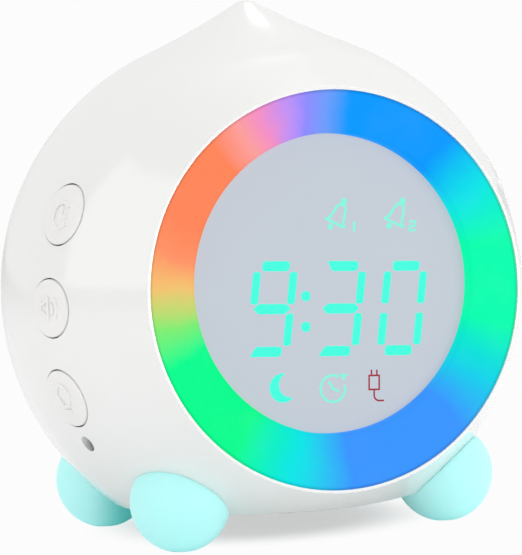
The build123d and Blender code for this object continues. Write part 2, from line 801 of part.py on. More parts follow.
def well(place, width, height, start, end):
    """Rectangular light well or the guide that fills it."""
    return Pos(place[0], place[1], 0) * block(width, height, start, end)


def island_bridges(grow):
    """Thin webs under the strokes that carry the panel inside each closed icon outline."""
    top = panel_back + bridge_height + grow
    bell_bridge = Pos(*bell_bridge_place, 0) * block(0.8 + 2 * grow, 1.8, panel_back, top)
    solids = [Pos(*place, 0) * Rot(0, 0, bell_lean) * bell_bridge for place in bell_places]
    solids.append(Pos(plug_place[0] - 1.3, plug_place[1], 0) * block(1.4, 0.8 + 2 * grow, panel_back, top))
    return solids


def screen_panel():
    """Grey-blue front panel with a window for every lit stroke and icon."""
    solid = disc(panel_radius, ring_skirt_end - thread_gap, panel_front)
    solid += disc(panel_flange_radius, panel_back, ring_skirt_end - thread_gap)
    solid = Rot(0, 0, -glyph_turn) * solid
    cuts = [slab(stroke, panel_back - 1, panel_front + 1) for stroke in lit_strokes()]
    icons = mint_icons() + [(plug_place, plug_icon(plug_stroke))]
    cuts += [Pos(*place, 0) * slab(icon, panel_back - 1, panel_front + 1) for place, icon in icons]
    return glyphs * ((solid - cuts) + island_bridges(0.0))


def screen_housing():
    """White block behind the panel, with a light well for every stroke and icon."""
    solid = disc(housing_radius, post_back, panel_back)
    solid -= [slab(stroke, post_back - 1, panel_back + 1) for stroke in lit_strokes() + dark_strokes()]
    places = list(icon_blocks.values()) + [plug_block]
    solid -= [well(place, width, height, post_back - 1, panel_back + 1) for place, width, height in places]
    return glyphs * solid


def digit_guides():
    """Mint light guides of the lit strokes, flush with the panel."""
    return group(glyphs * slab(stroke, guide_back, panel_front) for stroke in lit_strokes())


def dark_guides():
    """Light guides of the strokes that are off, behind the panel."""
    return group(glyphs * slab(stroke, guide_back, panel_back) for stroke in dark_strokes())


def icon_guides():
    """Mint light guides of the bells, the moon and the timer."""
    solids = []
    for place, width, height in icon_blocks.values():
        solids.append(well(place, width, height, guide_back, panel_back))
    for place, icon in mint_icons():
        solids.append(Pos(*place, 0) * slab(icon, panel_back - 0.5, panel_front))
    return glyphs * (joined(solids) - island_bridges(thread_gap))


def plug_guide():
    """Red light guide of the charging plug."""
    place, width, height = plug_block
    icon = Pos(*plug_place, 0) * slab(plug_icon(plug_stroke), panel_back - 0.5, panel_front)
    guide = well(place, width, height, guide_back, panel_back) + icon
    return glyphs * (guide - island_bridges(thread_gap))


def screen_leds():
    """Small lights on the main board, one in each light well."""
    chip = Rot(0, 0, 90 - glyph_slant) * block(1.5, 0.8, post_back, post_back + 0.7)
    places = [stroke.center() for stroke in lit_strokes() + dark_strokes()]
    solids = [Pos(centre.X, centre.Y, 0) * chip for centre in places]
    wells = [moon_place, timer_place, plug_block[0]]
    wells += [(x, bell_well_place[1]) for x in (1.0, 7.0, 13.0, 19.0)]
    solids += [Pos(*place, 0) * chip for place in wells]
    return group(glyphs * solid for solid in solids)


# ---- Buttons -------------------------------------------------------------------------------------
def clock_icon():
    """Open clock circle with two hands."""
    icon = arc_line(2.5, button_stroke, 40, 320)
    icon += stroke_line((0, 1.5), (0, -0.2), button_stroke)
    icon += stroke_line((0, -0.2), (1.7, -0.2), button_stroke)
    return icon


def sound_icon():
    """Loudspeaker with sound waves."""
    icon = stroke_path([(-2.5, -0.9), (-1.5, -0.9), (0.0, -2.2), (0.0, 2.2), (-1.5, 0.9), (-2.5, 0.9),
                        (-2.5, -0.9)], button_stroke)
    icon += arc_line(1.5, button_stroke, -45, 45)
    icon += arc_line(2.8, button_stroke, -45, 45)
    return icon


def lamp_icon():
    """Light bulb."""
    glass = Pos(0, 0.8, 0) * arc_line(2.0, button_stroke, -50, 230)
    icon = glass + stroke_line((-1.1, -0.9), (-0.9, -1.7), button_stroke)
    icon += stroke_line((1.1, -0.9), (0.9, -1.7), button_stroke)
    icon += [stroke_line((-0.9, level), (0.9, level), button_stroke) for level in (-1.7, -2.6)]
    return icon


def plus_icon():
    """Plus sign."""
    return stroke_line((-2.0, 0), (2.0, 0), 0.8) + stroke_line((0, -2.0), (0, 2.0), 0.8)


def minus_icon():
    """Minus sign."""
    return stroke_line((-2.0, 0), (2.0, 0), 0.8)


button_icons = {
    -1: {"clock_button": clock_icon(), "sound_button": sound_icon(), "lamp_button": lamp_icon()},
    1: {"plus_button": plus_icon(), "alarm_button": bell_icon(button_stroke, 0.9),
        "minus_button": minus_icon()},
}


def button_cap(side, height, icon):
    """Push button: curved top with a raised icon, retaining flange and stem."""
    flange_top = collar_end(height) - cap_flange_gap
    centre = Pos(-aside(side, height), -height, 0) * Rot(90, 0, 0)
    top = disc(cap_radius, flange_top - cap_flange, reach) & centre * Sphere(body_radius + cap_proud)
    top = fillet(top.edges().sort_by(Axis.Z)[-1], cap_edge_radius)
    marks = slab(icon, side_board_face, reach) & centre * (
        Sphere(body_radius + cap_proud + icon_raise) - Sphere(body_radius - cap_proud))
    flange = disc(cap_flange_radius, flange_top - cap_flange, flange_top)
    stem = disc(cap_stem_radius, plunger_tip, flange_top - cap_flange)
    return side_plane(side, height) * (top + marks + flange + stem)


def switch_plunger(side, height):
    """Plunger of one push switch; it moves with the button in front of it."""
    return side_plane(side, height) * disc(plunger_radius, plunger_foot, plunger_tip)


def switch_heights(side):
    """Heights of a side's switches; the left side also has the reset switch."""
    return button_heights + ((reset_height,) if side < 0 else ())


def push_switches():
    """Housings of all the push switches, each with a well for its plunger."""
    body = block(switch_size, switch_size, side_board_face, switch_top)
    hole = disc(plunger_radius + 0.15, switch_well, switch_top + 1)
    return group(side_plane(side, height) * (body - hole)
                 for side in (-1, 1) for height in switch_heights(side))


def side_circuit_board(side):
    """Narrow circuit board behind one side's buttons."""
    bottom = min(switch_heights(side)) - switch_size / 2 - 1.2
    board = Pos(0, bottom, side_board_face - side_board) * Box(
        side_board_width, side_board_top - bottom, side_board,
        align=(Align.CENTER, Align.MIN, Align.MIN))
    board -= [Pos(0, height, 0) * disc(small_screw[2] + fit_gap, 0, reach) for height in side_post_heights]
    return side_plane(side) * board


def side_screws():
    """Two screws for each side board, into its posts."""
    seat = side_board_face - side_board
    return group(side_plane(side, height) * screw(small_screw, seat, 7.5)
                 for side in (-1, 1) for height in side_post_heights)


def reset_button():
    """Long thin plunger behind the small hole in the left side."""
    pin = disc(reset_radius, plunger_foot, reset_tip)
    return side_plane(-1, reset_height) * fillet(pin.edges().sort_by(Axis.Z)[-1], cap_edge_radius)


# ---- Speaker -------------------------------------------------------------------------------------
def speaker_frame():
    """Steel basket with four screw ears; its open side looks out of the back."""
    front = speaker_y
    back = front - basket_depth
    outline = [(speaker_radius, front), (speaker_radius, front - speaker_flange),
               (speaker_radius - 1.6, front - speaker_flange), (magnet_radius + 0.6, back),
               (0.0, back), (0.0, back + 0.8), (magnet_radius, back + 0.8),
               (speaker_radius - 2.4, front - speaker_flange), (speaker_radius - 2.4, front)]
    basket = revolve(Plane.XZ * polygon(outline), Axis.Z)
    ear = disc(speaker_ear_radius, front - speaker_flange, front) + Pos(-2.6, 0, 0) * block(
        4.0, 2 * speaker_ear_radius, front - speaker_flange, front)
    hole = disc(small_screw[2] + fit_gap, 0, reach)
    basket += [place * ear for place in ring_places(speaker_ear_circle, 4, 45)]
    basket -= [place * hole for place in ring_places(speaker_ear_circle, 4, 45)]
    return rear_looking * (basket - disc(speaker_radius - 2.4, front - speaker_flange, front + 1))


def speaker_cone():
    """Paper cone with its rolled edge and dust cap."""
    front = speaker_y - 0.2
    edge = speaker_radius - 2.5
    outline = [(edge, front), (edge, front - 0.4), (edge - 2.0, front - 1.0), (4.6, front - 5.2),
               (0.0, front - 3.9), (0.0, front - 3.5), (4.4, front - 4.6), (edge - 2.0, front - 0.5)]
    return rear_looking * revolve(Plane.XZ * polygon(outline), Axis.Z)


def speaker_magnet():
    """Magnet and its rear plate."""
    back = speaker_y - basket_depth
    solid = disc(magnet_radius, back - magnet_height, back)
    return rear_looking * fillet(solid.edges().sort_by(Axis.Z)[0], 0.8)


def speaker_gasket():
    """Foam ring between the speaker's flange and its seat."""
    return rear_looking * tube(speaker_ledge_inner, speaker_radius, speaker_y, speaker_y + gasket)


def speaker_screws():
    """Four screws through the speaker's ears."""
    return group(rear_looking * place * screw(small_screw, speaker_y - speaker_flange, 5.5)
                 for place in ring_places(speaker_ear_circle, 4, 45))


# ---- Charging socket -----------------------------------------------------------------------------
def charge_socket():
    """Metal shell of the charging socket."""
    width, height = port_shell
    back = port_front - port_depth
    outside = slab(RectangleRounded(width, height, height / 2 - 0.05), back, port_front)
    inside = slab(RectangleRounded(width - 2 * port_shell_wall, height - 2 * port_shell_wall,
                                   height / 2 - port_shell_wall - 0.05), back + 1, port_front + 1)
    return port * (outside - inside)


def socket_tongue():
    """Contact tongue inside the socket."""
    back = port_front - port_depth + 1
    tip = slab(Rectangle(*port_tongue), back, port_front - 0.6)
    return port * fillet(tip.edges().filter_by(Axis.Y), 0.3)


def charge_board():
    """Small board under the charging socket, held by its edges."""
    width, depth, thickness = charge_board_size
    level = -port_shell[1] / 2 - thickness / 2
    return port * (Pos(0, level, 0) * block(width, thickness, charge_board_front - depth,
                                            charge_board_front))


# ---- Main board parts, battery, electrode and leads ----------------------------------------------
def on_main_board(x, y, size_x, size_y, height):
    """A part on the back of the main board."""
    back = post_back - main_board
    return lights * Pos(x, y, 0) * block(size_x, size_y, back - height, back)


def board_chips():
    """Clock controller, amplifier, memory, driver and small power parts."""
    places = [(-2, 2, 10, 10, 1.4), (-16, 6, 6, 5, 1.5), (12, 8, 5, 6, 1.5), (13, -4, 5, 4, 1.2),
              (-15, -6, 4, 4, 1.2)]
    return group(on_main_board(*place) for place in places)


socket_places = {        # on the main board's back: x, y
    "battery": (8.0, -16.0),
    "charge": (0.0, -22.0),
    "speaker": (-9.0, -15.0),
    "touch": (0.0, 24.0),
    "left": (-25.0, 2.0),
    "right": (25.0, 2.0),
}
socket_height = 4.0
plug_height = 1.8


def board_sockets():
    """White lead sockets on the main board."""
    solids = []
    for name, (x, y) in socket_places.items():
        wide, tall = (3.6, 9.0) if name in ("left", "right") else (7.0, 4.4)
        solids.append(on_main_board(x, y, wide, tall, socket_height))
    return group(solids)


def socket_mouth(name, extra=0.0):
    """Point behind one socket on the main board, about the ball's centre."""
    x, y = socket_places[name]
    place = lights * Pos(x, y, post_back - main_board - socket_height - extra)
    return tuple(place.position)


def lead_plugs():
    """Plugs on the ends of the round leads."""
    back = post_back - main_board - socket_height
    return group(lights * Pos(*socket_places[name], 0) * block(6.0, 3.4, back - plug_height, back)
                 for name in ("battery", "charge", "speaker", "touch"))


def corner_radii(points):
    """Arc radius at each corner of a route, as large as its two runs allow."""
    radii = []
    for before, corner, after in zip(points, points[1:], points[2:]):
        first = Vector(*corner) - Vector(*before)
        second = Vector(*after) - Vector(*corner)
        turn = radians(first.get_angle(second))
        radii.append(arc_share * min(first.length, second.length) / tan(turn / 2))
    return radii


def lead(points, section):
    """Lead along a route of straight runs and tangent arcs."""
    route = FilletPolyline(*points, radius=corner_radii(points))
    start = Plane(origin=points[0], z_dir=Vector(*points[1]) - Vector(*points[0]))
    return sweep(start * section, route)


def battery_cell():
    """Flat lithium cell on the floor, with rounded long edges."""
    bottom = floor_inside + cell_pad
    cell = Pos(0, 0, bottom) * Box(*cell_size, align=bottom_up)
    return fillet(cell.edges().filter_by(Axis.Y), 3.0)


def battery_pad():
    """Foam pad that sticks the cell to the front shell's floor."""
    return Pos(0, pad_y, floor_inside) * Box(*pad_size, cell_pad, align=bottom_up)


def battery_guard_board():
    """Protection board on the end of the cell."""
    middle = floor_inside + cell_pad + cell_size[2] / 2
    return Pos(0, cell_size[1] / 2 + 0.7, middle) * Box(28, 1.2, 7)


def plug_approach(name):
    """Last two points of a round lead's route: straight out of its plug, then its end."""
    return [socket_mouth(name, plug_height + lead_straight), socket_mouth(name, plug_height)]


def battery_lead():
    """Two-core lead from the cell's board to the main board."""
    start_y = cell_size[1] / 2 + 1.3 + lead_diameter / 2
    start_z = floor_inside + cell_pad + 3
    points = [(12, start_y, start_z), (12, start_y, start_z + 9), (11.5, 12, start_z + 17),
              (9.5, 0, start_z + 18)]
    return lead(points + plug_approach("battery"), Circle(lead_diameter / 2))


def speaker_lead():
    """Two-core lead from the speaker's basket to the main board."""
    points = [(-15.6, speaker_y - 4.0, -4.0), (-16.5, 33, -5), (-17.5, 24, -8), (-14, 12, -12),
              (-10, 0, -14)]
    return lead(points + plug_approach("speaker"), Circle(lead_diameter / 2))


def charge_lead():
    """Two-core lead from the charging board to the main board."""
    along = charge_board_front - charge_board_size[1]
    level = -port_shell[1] / 2 - 0.6
    starts = [tuple((port * Pos(0, level, along - step)).position) for step in (0, lead_straight)]
    points = starts + [(1.5, 16, -19), (2, 2, -22)]
    return lead(points + plug_approach("charge"), Circle(lead_diameter / 2))


def touch_lead():
    """Lead from the electrode under the tip to the main board."""
    points = [(0, -4.2, 52.6), (0, -6.5, 46), (1.5, -8, 39), (2, -7, 31), (0.5, -10, 25)]
    return lead(points + plug_approach("touch"), Circle(touch_lead_radius))


def side_ribbon(side):
    """Flat ribbon from a side board to the main board."""
    name = "left" if side < 0 else "right"
    ends = [socket_mouth(name, lead_straight), socket_mouth(name)]
    back = side_board_face - side_board
    starts = [tuple((side_plane(side) * Pos(0, ends[0][2], level)).position)
              for level in (back, back - lead_straight)]
    points = starts + ends
    heading = Vector(*points[1]) - Vector(*points[0])
    start_plane = Plane(origin=points[0], x_dir=heading.cross(Vector(0, 0, 1)), z_dir=heading)
    route = FilletPolyline(*points, radius=corner_radii(points))
    return sweep(start_plane * Rectangle(ribbon_thickness, ribbon_width), route)


def side_ribbons():
    """The two flat ribbons of the side boards."""
    return group([side_ribbon(-1), side_ribbon(1)])


def touch_electrode():
    """Thin copper cone under the tip that senses a tap."""
    near, far = electrode_radii
    cover = pointed_ball(wall + fit_gap) - pointed_ball(wall + fit_gap + electrode)
    return cover & tube(near, far, 30, reach)


# ---- All nodes -----------------------------------------------------------------------------------
nodes = {
    "front_shell": front_shell(),
    "rear_shell": rear_shell(),
    "shell_screws": shell_screws(),
    "foot_screws": foot_screws(),
    "ring_diffuser": ring_diffuser(),
    "light_carrier": light_carrier(),
    "carrier_screws": carrier_screws(),
    "ring_light_board": ring_light_board(),
    "ring_leds": ring_leds(),
    "main_circuit_board": main_circuit_board(),
    "board_screws": board_screws(),
    "screen_panel": screen_panel(),
    "screen_housing": screen_housing(),
    "digit_guides": digit_guides(),
    "dark_guides": dark_guides(),
    "icon_guides": icon_guides(),
    "plug_guide": plug_guide(),
    "screen_leds": screen_leds(),
    "board_chips": board_chips(),
    "board_sockets": board_sockets(),
    "lead_plugs": lead_plugs(),
    "side_screws": side_screws(),
    "push_switches": push_switches(),
    "side_ribbons": side_ribbons(),
    "reset_button": reset_button(),
    "speaker_frame": speaker_frame(),
    "speaker_cone": speaker_cone(),
    "speaker_magnet": speaker_magnet(),
    "speaker_gasket": speaker_gasket(),
    "speaker_screws": speaker_screws(),
    "speaker_lead": speaker_lead(),
    "charge_socket": charge_socket(),
    "socket_tongue": socket_tongue(),
    "charge_board": charge_board(),
    "charge_lead": charge_lead(),
    "battery_cell": battery_cell(),
    "battery_pad": battery_pad(),
    "battery_guard_board": battery_guard_board(),
    "battery_lead": battery_lead(),
    "touch_electrode": touch_electrode(),
    "touch_lead": touch_lead(),
}
for corner, (right, back) in foot_corners.items():
    nodes[corner + "_foot"] = foot(right, back)
for side, side_name in ((-1, "left"), (1, "right")):
    nodes[side_name + "_circuit_board"] = side_circuit_board(side)
    for height, (button_name, icon) in zip(button_heights, button_icons[side].items()):
        nodes[button_name] = button_cap(side, height, icon)
        nodes[button_name.replace("button", "plunger")] = switch_plunger(side, height)

os.makedirs("parts", exist_ok=True)
for name, solid in nodes.items():
    export_step(Pos(0, ball_y, ball_z) * solid, "parts/" + name + ".step")
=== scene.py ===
"""Looks of a kids' alarm clock with a night-light ring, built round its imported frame."""

import json
import logging
import math
from collections.abc import Iterable
from dataclasses import dataclass, field
from enum import Enum

import bpy
import numpy as np
from mathutils import Matrix, Vector


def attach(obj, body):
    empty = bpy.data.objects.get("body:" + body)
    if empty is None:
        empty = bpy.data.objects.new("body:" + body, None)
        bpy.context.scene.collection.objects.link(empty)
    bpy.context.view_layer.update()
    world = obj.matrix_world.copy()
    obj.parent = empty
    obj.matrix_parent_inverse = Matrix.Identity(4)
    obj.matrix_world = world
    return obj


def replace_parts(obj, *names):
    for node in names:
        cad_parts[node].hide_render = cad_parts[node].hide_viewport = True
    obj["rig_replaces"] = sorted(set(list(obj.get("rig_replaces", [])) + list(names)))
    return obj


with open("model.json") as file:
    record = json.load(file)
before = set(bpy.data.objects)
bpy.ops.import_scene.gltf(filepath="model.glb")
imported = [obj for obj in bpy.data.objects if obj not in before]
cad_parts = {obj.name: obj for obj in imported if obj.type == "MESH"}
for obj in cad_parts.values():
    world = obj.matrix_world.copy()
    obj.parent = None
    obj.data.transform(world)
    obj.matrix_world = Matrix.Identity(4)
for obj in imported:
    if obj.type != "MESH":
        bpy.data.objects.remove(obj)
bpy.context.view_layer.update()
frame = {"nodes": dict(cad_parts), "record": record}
log = logging.getLogger("alarm_clock")

MM = 0.001
MERGE_MM = 0.002  # corners closer than this are one
SMOOTH_ANGLE = 32.0  # degrees; sharper edges stay sharp
COAT_ROUGHNESS = 0.06
BLACK = (0, 0, 0, 1)
WHITE = (1, 1, 1, 1)

# Sizes the frame was drawn to, in millimetres; all but the first are about the ball's centre.
BALL_CENTRE = Vector((0.0, -6.3068, 49.95))
BALL_RADIUS = 55.0
FACE_TILT = math.radians(2.7)
TIP_HEIGHT = 60.8
TIP_RADIUS = 4.2
TIP_BLEND = math.radians(22.5)
FLARE_MEET = 27.0
FLARE_BLEND = 5.0
RIM_RADIUS = 41.0
RIM_FORWARD = 40.5


# ---- Colour and nodes ----------------------------------------------------------------------------
def linear(hex_colour: str) -> tuple[float, float, float, float]:
    """Turns an sRGB hex colour into linear RGBA.

    Args:
        hex_colour: Colour as "#RRGGBB".

    Returns:
        Red, green, blue and alpha, from 0 to 1.
    """
    parts = [int(hex_colour[i : i + 2], 16) / 255 for i in (1, 3, 5)]
    r, g, b = (c / 12.92 if c <= 0.04045 else ((c + 0.055) / 1.055) ** 2.4 for c in parts)
    return (r, g, b, 1.0)


def add_node(
    tree: bpy.types.NodeTree,
    kind: str,
    settings: dict[str | int, object] | None = None,
    links: dict[str | int, bpy.types.NodeSocket] | None = None,
) -> bpy.types.Node:
    """Adds one node with its settings and links.

    Args:
        tree: Node tree that gets the node.
        kind: The node's type name.
        settings: Values for its inputs, by name or number, and for its properties, by name.
        links: Output sockets for its inputs, by name or number.

    Returns:
        The new node.
    """
    node = tree.nodes.new(kind)
    for key, value in (settings or {}).items():
        if isinstance(key, int) or key in node.inputs:
            node.inputs[key].default_value = value
        else:
            setattr(node, key, value)
    for key, socket in (links or {}).items():
        tree.links.new(socket, node.inputs[key])
    return node


def new_tree(name: str) -> tuple[bpy.types.Material, bpy.types.NodeTree]:
    """Makes an empty material.

    Args:
        name: The material's name.

    Returns:
        The material and its node tree.
    """
    material = bpy.data.materials.new(name)
    material.use_nodes = True
    material.node_tree.nodes.clear()
    return material, material.node_tree


class Hue(Enum):
    """Colours that the ring's lights take, as sRGB hex."""

    AZURE = "#069AFF"
    PINK = "#F590C6"
    AQUA = "#0AE6E8"
    MINT = "#08FEB0"
    CYAN = "#08D2EC"
    SKY = "#3A96FF"
    SPRING = "#06FC90"
    LIME = "#80EE74"
    APRICOT = "#F6C272"
    ORANGE = "#FF9468"
    CORAL = "#FF865A"
    ROSE = "#FDA09C"
    LILAC = "#BE92F8"
    VIOLET = "#908CFF"
    PERIWINKLE = "#6E9EFD"


# ---- Finishes ------------------------------------------------------------------------------------
@dataclass(frozen=True)
class Finish:
    """A surface with two close tones in patches, a spread of roughness and a fine relief.

    Attributes:
        name: Material name, after what the surface is.
        colour: Main tone, sRGB hex.
        tone: Second tone, sRGB hex.
        patch_mm: Size of the patches of tone.
        roughness: Lowest and highest roughness.
        grain_mm: Size of the relief's grains, coarser than the real ones, which wouldn't show.
        relief_mm: Height of the relief.
        metallic: 1 for bare metal.
        ior: Index of refraction, None for a metal's default.
        coat: Weight of a clear, glossy top layer.
        sheen: Weight of a soft velvety sheen.
        subsurface: Weight of light that passes a little way into the material.
        depth_mm: How far that light goes, for red, green and blue.
        painted_glow: Share of the colour that the surface gives off itself, painted light that
            lifts its shade.
        painted_shade_tone: Darker tone painted near the clock's upright axis as the body's shade,
            if any.
        painted_shade_mm: Distances from that axis over which that painted shade gives way to the
            main tones.
    """

    name: str
    colour: str
    tone: str
    patch_mm: float = 8.0
    roughness: tuple[float, float] = (0.3, 0.4)
    grain_mm: float = 0.6
    relief_mm: float = 0.01
    metallic: float = 0.0
    ior: float | None = 1.5
    coat: float = 0.0
    sheen: float = 0.0
    subsurface: float = 0.0
    depth_mm: tuple[float, float, float] = (1.0, 1.0, 1.0)
    painted_glow: float = 0.0
    painted_shade_tone: str | None = None
    painted_shade_mm: tuple[float, float] = (28.0, 38.0)

    def build(self) -> bpy.types.Material:
        """Builds the finish.

        Returns:
            The material with all its nodes.
        """
        material, tree = new_tree(self.name)
        place = add_node(tree, "ShaderNodeTexCoord").outputs["Object"]
        patches = add_node(
            tree,
            "ShaderNodeTexNoise",
            {"Scale": 1 / (self.patch_mm * MM), "Detail": 3.0},
            {"Vector": place},
        ).outputs[0]
        grain = add_node(
            tree,
            "ShaderNodeTexNoise",
            {"Scale": 1 / (self.grain_mm * MM), "Detail": 2.0},
            {"Vector": place},
        ).outputs[0]
        colour = add_node(
            tree,
            "ShaderNodeMix",
            {"data_type": "RGBA", 6: linear(self.colour), 7: linear(self.tone)},
            {0: patches},
        ).outputs[2]
        # painted shade: a darker tone near the clock's upright axis, where the body shades the feet
        if self.painted_shade_tone:
            colour = self.paint_shade(tree, place, colour)
        low, high = self.roughness
        rough = add_node(
            tree,
            "ShaderNodeMapRange",
            {"To Min": low, "To Max": high},
            {"Value": grain},
        ).outputs[0]
        relief = add_node(
            tree,
            "ShaderNodeBump",
            {"Distance": self.relief_mm * MM, "Strength": 1.0},
            {"Height": grain},
        ).outputs[0]
        settings = {
            "Metallic": self.metallic,
            "Coat Weight": self.coat,
            "Coat Roughness": COAT_ROUGHNESS,
            "Sheen Weight": self.sheen,
            "Subsurface Weight": self.subsurface,
            "Subsurface Radius": self.depth_mm,
            "Subsurface Scale": MM,
        }
        if self.ior is not None:
            settings["IOR"] = self.ior
        links = {"Base Color": colour, "Roughness": rough, "Normal": relief}
        # painted light: part of the colour is given off by the surface itself, lifting its shade
        if self.painted_glow:
            settings["Emission Strength"] = self.painted_glow
            links["Emission Color"] = colour
            links["Base Color"] = add_node(
                tree, "ShaderNodeMix", {"data_type": "RGBA", 0: self.painted_glow, 7: BLACK}, {6: colour}
            ).outputs[2]
        shader = add_node(tree, "ShaderNodeBsdfPrincipled", settings, links)
        add_node(tree, "ShaderNodeOutputMaterial", links={"Surface": shader.outputs[0]})
        return material

    def paint_shade(
        self, tree: bpy.types.NodeTree, place: bpy.types.NodeSocket, colour: bpy.types.NodeSocket
    ) -> bpy.types.NodeSocket:
        """Paints shade: turns the colour into the darker tone near the clock's upright axis.

        Args:
            tree: The material's node tree.
            place: Object coordinates.
            colour: The colour further out.

        Returns:
            Socket with the colour all over.
        """
        level = add_node(
            tree, "ShaderNodeVectorMath", {"operation": "MULTIPLY", 1: (1, 1, 0)}, {0: place}
        ).outputs[0]
        away = add_node(
            tree, "ShaderNodeVectorMath", {"operation": "LENGTH"}, {0: level}
        ).outputs["Value"]
        share = add_node(
            tree,
            "ShaderNodeMapRange",
            {
                "From Min": self.painted_shade_mm[0] * MM,
                "From Max": self.painted_shade_mm[1] * MM,
                "interpolation_type": "SMOOTHSTEP",
            },
            {"Value": away},
        ).outputs[0]
        return add_node(
            tree,
            "ShaderNodeMix",
            {"data_type": "RGBA", 6: linear(self.painted_shade_tone)},
            {0: share, 7: colour},
        ).outputs[2]


@dataclass(frozen=True)
class LightGuide:
    """A clear coloured stroke lit from behind: even light in two close tones.

    Attributes:
        name: Material name, after what the guide is.
        colour: Main tone, sRGB hex.
        tone: Second tone, sRGB hex.
        strength: Strength of the light.
        patch_mm: Size of the patches of tone.
        lit_share: Share of the colour that comes from the light and not from the surface.
        roughness: Roughness of its face.
        ior: Index of refraction.
        gloss: Strength of its reflection.
    """

    name: str
    colour: str
    tone: str
    strength: float
    patch_mm: float = 2.2
    lit_share: float = 0.8
    roughness: float = 0.35
    ior: float = 1.49
    gloss: float = 0.25

    def build(self) -> bpy.types.Material:
        """Builds the finish.

        Returns:
            The material with all its nodes.
        """
        material, tree = new_tree(self.name)
        place = add_node(tree, "ShaderNodeTexCoord").outputs["Object"]
        cloud = add_node(
            tree,
            "ShaderNodeTexNoise",
            {"Scale": 1 / (self.patch_mm * MM), "Detail": 1.0},
            {"Vector": place},
        ).outputs[0]
        colour = add_node(
            tree,
            "ShaderNodeMix",
            {"data_type": "RGBA", 6: linear(self.colour), 7: linear(self.tone)},
            {0: cloud},
        ).outputs[2]
        dim = add_node(
            tree, "ShaderNodeMix", {"data_type": "RGBA", 0: self.lit_share, 7: BLACK}, {6: colour}
        ).outputs[2]
        shader = add_node(
            tree,
            "ShaderNodeBsdfPrincipled",
            {
                "Emission Strength": self.strength,
                "Roughness": self.roughness,
                "IOR": self.ior,
                "Specular IOR Level": self.gloss,
            },
            {"Base Color": dim, "Emission Color": colour},
        )
        add_node(tree, "ShaderNodeOutputMaterial", links={"Surface": shader.outputs[0]})
        return material


